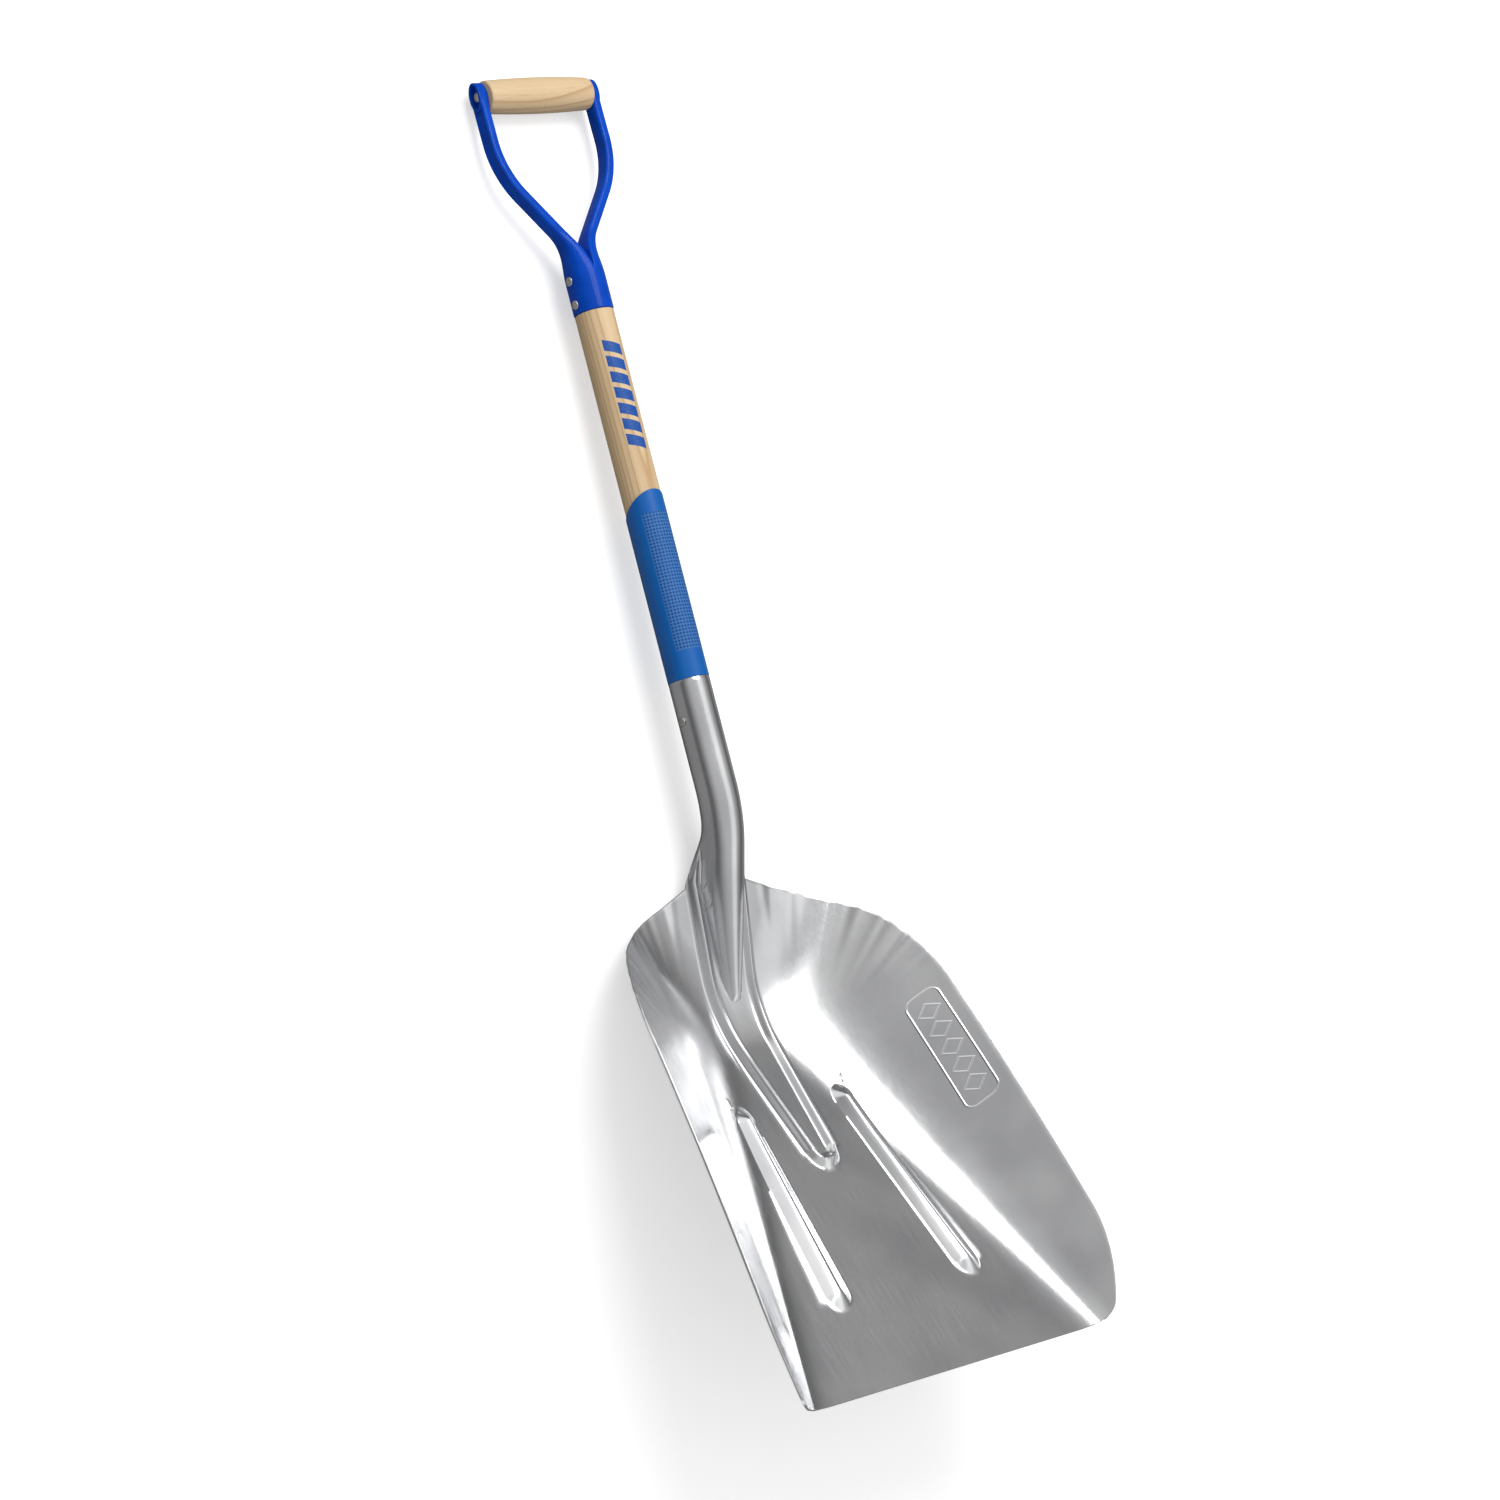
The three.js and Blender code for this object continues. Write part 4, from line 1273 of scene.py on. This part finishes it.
        rows = []
        last = self.outline.front + self.front_rows[-1]
        heights = [self.outline.front + step for step in self.front_rows]
        for i in range(1, self.bead_rows + 1):
            share = i / self.bead_rows
            eased = (1 - math.cos(math.pi * share)) / 2
            heights.append(lerp(last, rear_y, lerp(share, eased, 0.8)))
        for y in heights:
            inner = [(x, y) for x in self.stations(y)]
            rim = line.at(crossing(lambda at: line.at(at)[1] - y, 0, corner))[:2]
            rows.append(self.refined([*inner, *self.wall(inner[-1], rim)]))
        start = self.stations(rear_y)
        for i in range(1, self.rear_rows + 1):
            share = i / self.rear_rows
            inner = []
            for lane, (rear_x, rear_end) in enumerate(rears):
                y = lerp(rear_y, rear_end, share)
                x = self.tongue_lane(lane, y) if lane < 12 else lerp(start[lane], rear_x, share)
                inner.append((x, y))
            rim = line.at(lerp(bead_top, corner, share))[:2]
            rows.append(self.refined([*inner, *self.wall(inner[-1], rim)]))
        return rows

    @staticmethod
    def wall(crease: tuple[float, float], rim: tuple[float, float]) -> list[tuple[float, float]]:
        """Four even steps out over the wall."""
        return [
            (lerp(crease[0], rim[0], step / 4), lerp(crease[1], rim[1], step / 4))
            for step in range(1, 5)
        ]

    @staticmethod
    def parts() -> list[int]:
        """How many lanes each stretch between main lines is split into."""
        return [3] * 5 + [2, 3, 3, 3, 3, 3] + [4] + [3, 4, 4, 4, 4] + [4] + [4, 4, 4] + [5] * 4

    def refined(self, plan: list[tuple[float, float]]) -> list[tuple[float, float]]:
        """Split the stretches between main lines evenly."""
        fine = [plan[0]]
        for (x0, y0), (x1, y1), count in zip(plan, plan[1:], self.parts()):
            for i in range(1, count + 1):
                fine.append((lerp(x0, x1, i / count), lerp(y0, y1, i / count)))
        return fine

    def angles(self) -> list[float]:
        """Angle round the socket of each fine tongue lane, 0 at the crown."""
        tube = [math.radians(angle) for angle in self.socket.tube_angles]
        closed = math.pi - self.socket.open_half
        lanes = 12
        side = len(tube) - 1
        coarse = tube + [
            lerp(tube[side], closed, (i - side) / (lanes - 1 - side)) for i in range(side + 1, lanes)
        ]
        fine = [coarse[0]]
        for one, other, count in zip(coarse, coarse[1:], self.parts()):
            fine += [lerp(one, other, i / count) for i in range(1, count + 1)]
        return fine

    def build(self, pose: Matrix) -> bpy.types.Object:
        """Press the sheet, curl its tongue into the socket and give it thickness.

        Args:
            pose: Place of the blade's frame in the row frame.

        Returns:
            The finished piece.
        """
        rows = self.rows()
        half = len(rows[0]) - 1
        columns = 2 * half
        deselect_all()
        bpy.ops.mesh.primitive_grid_add(
            x_subdivisions=columns, y_subdivisions=len(rows) - 1, size=1
        )
        piece = bpy.context.object
        piece.name = "scoop_blade_sheet"
        lanes = piece.data.attributes.new("lane", "INT", "POINT")
        reach = len(self.angles()) - 1
        root: dict[int, Vector] = {}
        rear = []
        for corner in piece.data.vertices:
            column = round((corner.co.x + 0.5) * columns) - half
            row = round((corner.co.y + 0.5) * (len(rows) - 1))
            x, y = rows[row][abs(column)]
            rim_x, rim_y = rows[row][-1]
            place = self.pressed(math.copysign(x, column) if column else 0.0, y,
                                 min(math.hypot(rim_x - x, rim_y - y), self.to_rear(x, y)))
            corner.co = place * MM
            lanes.data[corner.index].value = column + reach if abs(column) <= reach else 0
            corner.select = row == len(rows) - 1 and abs(column) <= reach
            if corner.select:
                root[column] = place
                rear.append(corner.index)
        self.curl(piece, root, set(rear))
        apply_modifier(piece, "SOLIDIFY", thickness=self.sheet * MM, offset=-1.0)
        apply_modifier(
            piece, "BEVEL", width=0.35 * MM, segments=2, limit_method="ANGLE",
            angle_limit=math.radians(62), use_clamp_overlap=True,
        )
        smooth(piece, 40)
        settle(piece, pose)
        return piece

    def to_rear(self, x: float, y: float) -> float:
        """Rough plan distance in from the rear edge."""
        return max(self.tongue.rear_y - y - 0.0009 * x * x, 0)

    def curl(self, piece: bpy.types.Object, root: dict[int, Vector], rear: set[int]) -> None:
        """Carry the tongue on past the rear edge and curl it into the socket.

        Args:
            piece: The pressed sheet.
            root: Rear edge of the tongue, by column.
            rear: Numbers of its corners.
        """
        angles = self.angles()
        reach = len(angles) - 1
        line = self.socket_line()
        mesh = piece.data
        for face in mesh.polygons:
            face.select = False
        for edge in mesh.edges:
            edge.select = edge.vertices[0] in rear and edge.vertices[1] in rear
        bpy.ops.object.mode_set(mode="EDIT")
        bpy.ops.mesh.select_mode(type="EDGE")
        for ring in range(1, self.neck_rings + 1):
            distance = line.length * (ring / self.neck_rings) ** 1.1
            y, z, aim = line.at(distance)
            curled = smoothstep(distance, 0, self.socket.curl_length)
            places = []
            for column in range(-reach, reach + 1):
                angle = math.copysign(angles[abs(column)], column)
                up = self.socket.radius * math.cos(angle)
                tube = Vector((
                    self.socket.radius * math.sin(angle),
                    y - up * math.sin(aim),
                    z + up * math.cos(aim),
                ))
                flat = root[column] + Vector((0, y - self.socket.root_y, z - self.root_z))
                places.append(flat.lerp(tube, curled))
            extrude_ring(piece, places)
        bpy.ops.object.mode_set(mode="OBJECT")
        mesh.attributes.remove(mesh.attributes["lane"])


# ---------------------------------------------------------------- handle


@dataclass
class Shaft:
    """Ash shaft: a tenon in the socket, one straight round and a neck in the ferrule."""

    radius: float = 17.9
    length: float = 343.3
    tenon: float = 16.1
    tenon_length: float = 88
    neck_radius: float = 16.4
    neck_length: float = 42
    chamfer: float = 5

    def build(self, pose: Matrix) -> bpy.types.Object:
        """Turn the shaft."""
        top = self.length + self.neck_length
        piece = turn("shaft_ash", [
            (self.tenon - self.chamfer, -self.tenon_length),
            (self.tenon, self.chamfer - self.tenon_length),
            (self.tenon, 0.3),
            (self.radius - 0.3, 0.3),
            (self.radius, 0.6),
            (self.radius, self.length - FIT_GAP - 0.4),
            (self.radius - 0.4, self.length - FIT_GAP),
            (self.neck_radius, self.length - FIT_GAP),
            (self.neck_radius, top - self.chamfer),
            (self.neck_radius - self.chamfer, top),
        ], 128)
        smooth(piece)
        settle(piece, pose)
        return piece


@dataclass
class GripSleeve:
    """Moulded sleeve over the lower shaft, its top edge cut on a slant."""

    inner: float = 18.2
    outer: float = 18.9
    start: float = 0.3
    length: float = 159.7
    slant: float = 13.4
    rings: int = 24

    def build(self, pose: Matrix) -> bpy.types.Object:
        """Extrude the sleeve, slant its top, and map it in metres round the shaft."""
        top = self.start + self.length
        profile = [(self.inner, self.start), (self.outer - 0.25, self.start)]
        profile += [(self.outer, lerp(self.start + 0.25, top - 0.3, i / self.rings))
                    for i in range(self.rings + 1)]
        profile += [(self.outer - 0.3, top), (self.inner, top), (self.inner, self.start)]
        piece = turn("grip_sleeve_moulded", profile, 128)
        for corner in piece.data.vertices:
            along = corner.co.y / MM
            share = clamp((along - self.start) / (top - self.start)) ** 6
            corner.co.y += self.slant * share * corner.co.z / (self.outer)
        wrap = piece.data.uv_layers.new(name="wrap")
        for face in piece.data.polygons:
            across = [math.atan2(piece.data.vertices[i].co.x, piece.data.vertices[i].co.z)
                      for i in face.vertices]
            seam = max(across) - min(across) > math.pi
            for loop, angle in zip(face.loop_indices, across):
                turned_to = angle + 2 * math.pi if seam and angle < 0 else angle
                along = piece.data.vertices[piece.data.loops[loop].vertex_index].co.y
                wrap.data[loop].uv = (turned_to * self.outer * MM, along)
        smooth(piece)
        settle(piece, pose)
        return piece


@dataclass
class Yoke:
    """Folded steel yoke: a ferrule, two arms and two ears hollowed on the outside."""

    bottom: float = 343.3
    ferrule_length: float = 30.7
    reach: float = 208.2
    wall: float = 1.8
    bore: float = 16.7
    bore_top: float = 385.6
    neck_length: float = 17
    fork_turn: float = math.radians(37)
    fork_radius: float = 50
    arm_length: float = 44
    straighten_radius: float = 86
    arm_half_width: float = 5
    arm_half_depth: float = 8
    morph_length: float = 50
    set_back: float = 4.5
    ear_half_length: float = 13.5
    ear_half_depth: float = 8.2
    ear_thickness: float = 9.6
    cup_inset: float = 2.3
    cup_depth: float = 4.2
    groove: float = 2.6
    rod_hole: float = 3.5
    rivet_hole: float = 2.7
    rivets_at: tuple[float, float] = (352.0, 374.0)
    voxel: float = 0.72

    @property
    def radius(self) -> float:
        """Radius outside the ferrule."""
        return self.bore + self.wall

    @property
    def split(self) -> float:
        """Where the two arms part."""
        return self.bottom + self.ferrule_length

    @property
    def bar_at(self) -> float:
        """Where the hand bar lies along the handle."""
        return self.bottom + self.reach

    def arm_line(self) -> DrawnLine:
        """Middle line of the right arm, from the ferrule to the ear."""
        bends = self.neck_length + self.arm_length * math.cos(self.fork_turn)
        bends += (self.fork_radius + self.straighten_radius) * math.sin(self.fork_turn)
        return DrawnLine(
            (self.radius / 2, self.split),
            math.pi / 2,
            (
                Run(self.neck_length),
                bend(self.fork_radius, -self.fork_turn),
                Run(self.arm_length),
                bend(self.straighten_radius, self.fork_turn),
                Run(self.bar_at - self.split - bends),
            ),
        )

    def ear_at(self) -> float:
        """Distance of each ear's middle from the middle plane."""
        line = self.arm_line()
        return line.at(line.length)[0]

    def section(self, drawn: float, channel: float, around: int) -> list[tuple[float, float]]:
        """Cross section of an arm.

        Args:
            drawn: 0 where it is half a ferrule, 1 where it is a bar.
            channel: Depth of the hollow along its outer side.
            around: How many corners it has.

        Returns:
            Distances outwards and towards the hollow side.
        """
        ring = []
        for i in range(around):
            angle = 2 * math.pi * i / around
            c, s = math.cos(angle), math.sin(angle)
            half_round = (
                self.radius * c - self.radius / 2 if c > 0 else -self.radius / 2 - FIT_GAP,
                self.radius * s,
            )
            square = (
                self.arm_half_width * math.copysign(abs(c) ** 0.55, c),
                self.arm_half_depth * math.copysign(abs(s) ** 0.55, s),
            )
            out = lerp(half_round[0], square[0], drawn)
            deep = lerp(half_round[1], square[1], drawn)
            if c > 0:
                out -= channel * (1 - smoothstep(abs(deep) / self.arm_half_depth, 0.3, 0.78))
            ring.append((out, deep))
        return ring

    def arm(self, hand: Hand) -> bpy.types.Object:
        """One arm, lofted along its line."""
        line = self.arm_line()
        steps, around = 72, 48
        rings = []
        for step in range(steps + 1):
            along = step / steps
            distance = along * line.length
            x, y, aim = line.at(distance)
            drawn = smoothstep(distance, 0, self.morph_length)
            channel = self.groove * smoothstep(along, 0.42, 0.62)
            back = self.set_back * smoothstep(along, 0, 1)
            ring = []
            for out, deep in self.section(drawn, channel, around):
                ring.append(Vector((
                    hand.value * (x + out * math.sin(aim)), y - out * math.cos(aim), deep - back
                )))
            rings.append(ring)
        return loft(f"arm_{hand.name.lower()}", rings)

    def oval(self, hand: Hand, out: float, thickness: float, inset: float) -> bpy.types.Object:
        """Oval plug lying across one ear."""
        deselect_all()
        bpy.ops.mesh.primitive_cylinder_add(vertices=72, radius=MM, depth=thickness * MM)
        plug = bpy.context.object
        bpy.ops.object.transform_apply()
        wide, deep = self.ear_half_length - inset, self.ear_half_depth - inset
        place = Matrix.Translation(Vector((hand.value * out, self.bar_at, -self.set_back)) * MM)
        size = Matrix.Diagonal((1, wide, deep, 1))
        settle(plug, place @ size @ Matrix.Rotation(math.pi / 2, 4, "Y"))
        return plug

    def build(self, pose: Matrix) -> bpy.types.Object:
        """Fuse ferrule, arms and ears, soften the joins, then cut the bores and hollows."""
        ferrule = turn("yoke_folded", [
            (self.radius - 1, self.bottom),
            (self.radius, self.bottom + 0.5),
            (self.radius, self.split + 0.6),
        ], 96)
        parts = [ferrule]
        for hand in Hand:
            parts.append(self.arm(hand))
            parts.append(self.oval(hand, self.ear_at(), self.ear_thickness, 0))
        deselect_all()
        for part in parts:
            part.select_set(True)
        bpy.context.view_layer.objects.active = ferrule
        bpy.ops.object.join()
        ferrule.data.remesh_voxel_size = self.voxel * MM
        pick(ferrule)
        bpy.ops.object.voxel_remesh()
        apply_modifier(ferrule, "SMOOTH", factor=0.5, iterations=6)
        self.cut_bores(ferrule)
        smooth(ferrule, 38)
        settle(ferrule, pose)
        return ferrule

    def cut_bores(self, body: bpy.types.Object) -> None:
        """Cut the ferrule's bore, the ears' hollows and the pin holes."""
        cut(body, turn("bore", [
            (self.bore, self.bottom - 5),
            (self.bore, self.bore_top - 5),
            (self.bore - 5, self.bore_top),
        ], 96))
        for hand in Hand:
            face = self.ear_at() + self.ear_thickness / 2
            cut(body, self.oval(hand, face, 2 * self.cup_depth, self.cup_inset))
        across = 1.5 * self.ear_at()
        cut(body, turn("rod_hole", [(self.rod_hole, -across), (self.rod_hole, across)], 40,
                       Along.X, Vector((0, self.bar_at, -self.set_back))))
        for at in self.rivets_at:
            cut(body, turn("rivet_hole", [(self.rivet_hole, -30), (self.rivet_hole, 30)], 32,
                           Along.X, Vector((0, at, 0))))


@dataclass
class HandBar:
    """Turned hand bar, fuller in the middle, bored for its rod."""

    at: float = 551.5
    set_back: float = 4.5
    half: float = 58.0
    bore: float = 3.5
    end_radius: float = 14.8
    mid_radius: float = 16.4
    rounding: float = 2.0
    line_depth: float = 0.14

    def build(self, pose: Matrix) -> bpy.types.Object:
        """Turn the bar, with a fine line cut round its middle."""
        profile = [(self.bore, -self.half)]
        corner = []
        for i in range(5):
            angle = math.pi / 2 * i / 4
            corner.append((
                self.end_radius - self.rounding * (1 - math.sin(angle)),
                self.half - self.rounding * (1 - math.cos(angle)),
            ))
        profile += [(radius, -height) for radius, height in corner]
        steps = 40
        for i in range(1, steps):
            along = lerp(-1, 1, i / steps)
            if i != steps // 2:
                profile.append((
                    lerp(self.mid_radius, self.end_radius, along**2),
                    along * (self.half - self.rounding),
                ))
                continue
            for step, depth in ((-0.35, 0), (0, self.line_depth), (0.35, 0)):
                profile.append((self.mid_radius - depth, step))
        profile += [(radius, height) for radius, height in reversed(corner)]
        profile += [(self.bore, self.half), (self.bore, -self.half)]
        piece = turn("hand_bar_ash", profile, 112, Along.X, Vector((0, self.at, -self.set_back)))
        smooth(piece)
        settle(piece, pose)
        return piece


@dataclass
class HeadedPin:
    """Pin through the handle with a formed head on each end."""

    name: str
    at: float
    set_back: float
    half: float
    radius: float
    head_radius: float
    head_height: float
    dimple: float = 0.0

    def build(self, pose: Matrix) -> bpy.types.Object:
        """Turn the pin with both heads."""
        head = [(self.head_radius - 0.25, 0.0), (self.head_radius, 0.22)]
        for i in range(1, 10):
            angle = math.pi / 2 * i / 10
            head.append((self.head_radius * math.cos(angle),
                         0.22 + (self.head_height - 0.22) * math.sin(angle)))
        tip = self.head_height - self.dimple
        head.append((0.12 * self.head_radius, tip))
        profile = [(radius, -self.half - height) for radius, height in reversed(head)]
        profile += [(self.radius, -self.half), (self.radius, self.half)]
        profile += [(radius, self.half + height) for radius, height in head]
        piece = turn(self.name, profile, 48, Along.X, Vector((0, self.at, -self.set_back)))
        smooth(piece)
        settle(piece, pose)
        return piece


# ---------------------------------------------------------------- assembly


@dataclass
class Shovel:
    """The whole shovel, piece by piece."""

    lie: Lie = field(default_factory=Lie)
    blade: ScoopBlade = field(default_factory=ScoopBlade)
    shaft: Shaft = field(default_factory=Shaft)
    sleeve: GripSleeve = field(default_factory=GripSleeve)
    yoke: Yoke = field(default_factory=Yoke)
    bar: HandBar = field(default_factory=HandBar)
    bars: PrintedBars = field(default_factory=PrintedBars)
    cup_depth: float = 3.6
    socket_rivet_at: float = -35.7
    socket_rivet_half: float = 19.0

    def pins(self) -> dict[str, HeadedPin]:
        """The rod and the three rivets, by node."""
        yoke = self.yoke
        floor = yoke.ear_at() + yoke.ear_thickness / 2 - self.cup_depth + FIT_GAP
        rivet = {"radius": 2.4, "head_radius": 4.4, "head_height": 1.8, "set_back": 0.0}
        return {
            "hand_bar_rod": HeadedPin("hand_bar_rod_peened", yoke.bar_at, yoke.set_back, floor,
                                      3.2, 4.6, 2.0, 0.5),
            "socket_rivet": HeadedPin("socket_rivet_domed", at=self.socket_rivet_at,
                                      half=self.socket_rivet_half, dimple=0.5, **rivet),
            "yoke_rivet_lower": HeadedPin("yoke_rivet_lower_domed", at=yoke.rivets_at[0],
                                          half=yoke.radius + FIT_GAP, **rivet),
            "yoke_rivet_upper": HeadedPin("yoke_rivet_upper_domed", at=yoke.rivets_at[1],
                                          half=yoke.radius + FIT_GAP, **rivet),
        }

    def build(self) -> None:
        """Build, dress and hand over every piece."""
        groups = Groups()
        blade_pose = self.lie.blade()
        pose = self.lie.handle(self.blade.mouth())
        bar_pose = pose @ Matrix.Translation(Vector((0, self.bar.at, -self.bar.set_back)) * MM)
        bar_grain = bar_pose @ Matrix.Rotation(math.pi / 2, 4, "Z") @ Matrix.Rotation(0.5, 4, "Y")
        steel = Steel().make(groups, pose)
        hand_over(self.blade.build(blade_pose), "scoop_blade",
                  Aluminium().make(groups, blade_pose))
        hand_over(self.shaft.build(pose), "shaft",
                  self.printed_ash(groups, pose))
        hand_over(self.sleeve.build(pose), "grip_sleeve", SleeveBlue().make(groups, pose))
        hand_over(self.yoke.build(pose), "yoke", Enamel().make(groups, pose))
        hand_over(self.bar.build(pose), "hand_bar",
                  Ash("bar_ash", 0.012, 0.0052).make(groups, bar_grain))
        for node, pin in self.pins().items():
            hand_over(pin.build(pose), node, steel)

    def printed_ash(self, groups: Groups, pose: Matrix) -> bpy.types.Material:
        """Ash of the shaft with a plain printed band of slanted blue bars.

        Args:
            groups: Shared shader groups.
            pose: Place of the handle's frame.

        Returns:
            The material.
        """
        coat, wood = Ash("shaft_ash", 0.085, 0.0034).lay(groups, pose)
        ink = self.bars.cover(coat)
        coat.feed("Base Color", coat.tree.blend(ink, wood, self.bars.ink))
        return coat.material


def hand_over(piece: bpy.types.Object, node: str, material: bpy.types.Material) -> None:
    """Dress a finished piece and let it stand for its CAD node.

    Args:
        piece: The piece.
        node: CAD node that it stands for.
        material: Its finish.
    """
    piece.data.materials.clear()
    piece.data.materials.append(material)
    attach(piece, "root")
    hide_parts(node)
    LOG.info("%s: %d faces", piece.name, len(piece.data.polygons))


@dataclass
class Studio:
    """Camera, pale floor and soft light."""

    camera_place: tuple[float, float, float] = (-2.243966, -0.307006, 2.850068)
    camera_turn: tuple[float, float, float] = (14.485337, -37.099066, -16.471562)
    lens: float = 97.427
    floor_size: float = 14.0
    band_axis: tuple[float, float, float] = (-0.6943, -0.1159, 0.7104)
    band_middle: float = 0.37
    band_half: float = 0.225
    band_soft: float = 0.15
    band_level: float = 0.98
    room_low: float = 0.14
    room_high: float = 0.57

    def build(self) -> None:
        """Set up the studio."""
        self.place_camera()
        self.lay_floor()
        self.light_world()
        self.hang_lamp("overhead_softbox", (0.4, 1.9, 2.8), (0, 0, 0), 1.9, 52.0)
        scene = bpy.context.scene
        scene.view_settings.view_transform = "Standard"
        scene.view_settings.look = "None"

    def place_camera(self) -> None:
        """Stand the camera where the whole shovel shows."""
        camera = bpy.data.cameras.new("studio_camera")
        camera.lens = self.lens
        camera.sensor_width = 36.0
        camera.clip_end = 40.0
        stand = bpy.data.objects.new("studio_camera", camera)
        stand.location = self.camera_place
        stand.rotation_euler = [math.radians(angle) for angle in self.camera_turn]
        bpy.context.scene.collection.objects.link(stand)
        bpy.context.scene.camera = stand

    def lay_floor(self) -> None:
        """Plain pale floor."""
        deselect_all()
        bpy.ops.mesh.primitive_plane_add(size=self.floor_size, location=(0, 0, -0.0005))
        floor = bpy.context.object
        floor.name = "studio_floor"
        bpy.ops.object.transform_apply()
        material = bpy.data.materials.new("floor_paper")
        material.use_nodes = True
        tree = Tree(material.node_tree)
        shader = material.node_tree.nodes["Principled BSDF"]
        shader.inputs["Roughness"].default_value = 0.9
        shader.inputs["Specular IOR Level"].default_value = 0.0
        shader.inputs["Emission Color"].default_value = (1, 1, 1, 1)
        seen = tree.add("ShaderNodeLightPath").outputs["Is Camera Ray"]
        paper = tree.blend(seen, (0.3, 0.3, 0.3, 1), (0.85, 0.85, 0.85, 1))
        material.node_tree.links.new(paper, shader.inputs["Base Color"])
        glow = tree.math("MULTIPLY", seen, 0.5)
        material.node_tree.links.new(glow, shader.inputs["Emission Strength"])
        floor.data.materials.append(material)

    def light_world(self) -> None:
        """Dim room with one broad bright tent band round it."""
        world = bpy.data.worlds.new("soft_room")
        bpy.context.scene.world = world
        world.use_nodes = True
        tree = Tree(world.node_tree)
        direction = tree.add("ShaderNodeTexCoord").outputs["Generated"]
        up = tree.add("ShaderNodeSeparateXYZ", {0: direction}).outputs[2]
        facing = tree.add(
            "ShaderNodeVectorMath", {0: direction, 1: self.band_axis}, operation="DOT_PRODUCT"
        ).outputs["Value"]
        away = tree.math("ABSOLUTE", tree.math("SUBTRACT", facing, self.band_middle))
        low, high = self.band_half - self.band_soft / 2, self.band_half + self.band_soft / 2
        share = tree.add(
            "ShaderNodeMapRange", {0: away, 1: low, 2: high, 3: 1.0, 4: 0.0},
            interpolation_type="SMOOTHSTEP",
        ).outputs[0]
        room = tree.spread(up, 0.28, 0.78, self.room_low, self.room_high)
        rest = tree.math("SUBTRACT", self.band_level, room)
        level = tree.math("ADD", room, tree.math("MULTIPLY", rest, share))
        back = world.node_tree.nodes["Background"]
        world.node_tree.links.new(level, back.inputs["Color"])
        back.inputs["Strength"].default_value = 1.0

    def hang_lamp(
        self, name: str, place: tuple[float, float, float], aim: tuple[float, float, float],
        size: float, power: float,
    ) -> None:
        """Hang a square soft lamp.

        Args:
            name: Name of the lamp.
            place: Where it hangs.
            aim: What it points at.
            size: Length of its side.
            power: Its power in watts.
        """
        lamp = bpy.data.lights.new(name, "AREA")
        lamp.shape = "SQUARE"
        lamp.size = size
        lamp.energy = power
        holder = bpy.data.objects.new(name, lamp)
        holder.location = place
        holder.rotation_euler = (Vector(aim) - Vector(place)).to_track_quat("-Z", "Y").to_euler()
        bpy.context.scene.collection.objects.link(holder)


def main() -> None:
    """Build the studio and the shovel."""
    logging.basicConfig(level=logging.INFO, format="%(message)s")
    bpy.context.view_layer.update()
    Studio().build()
    Shovel().build()


if __name__ == "__main__":
    main()
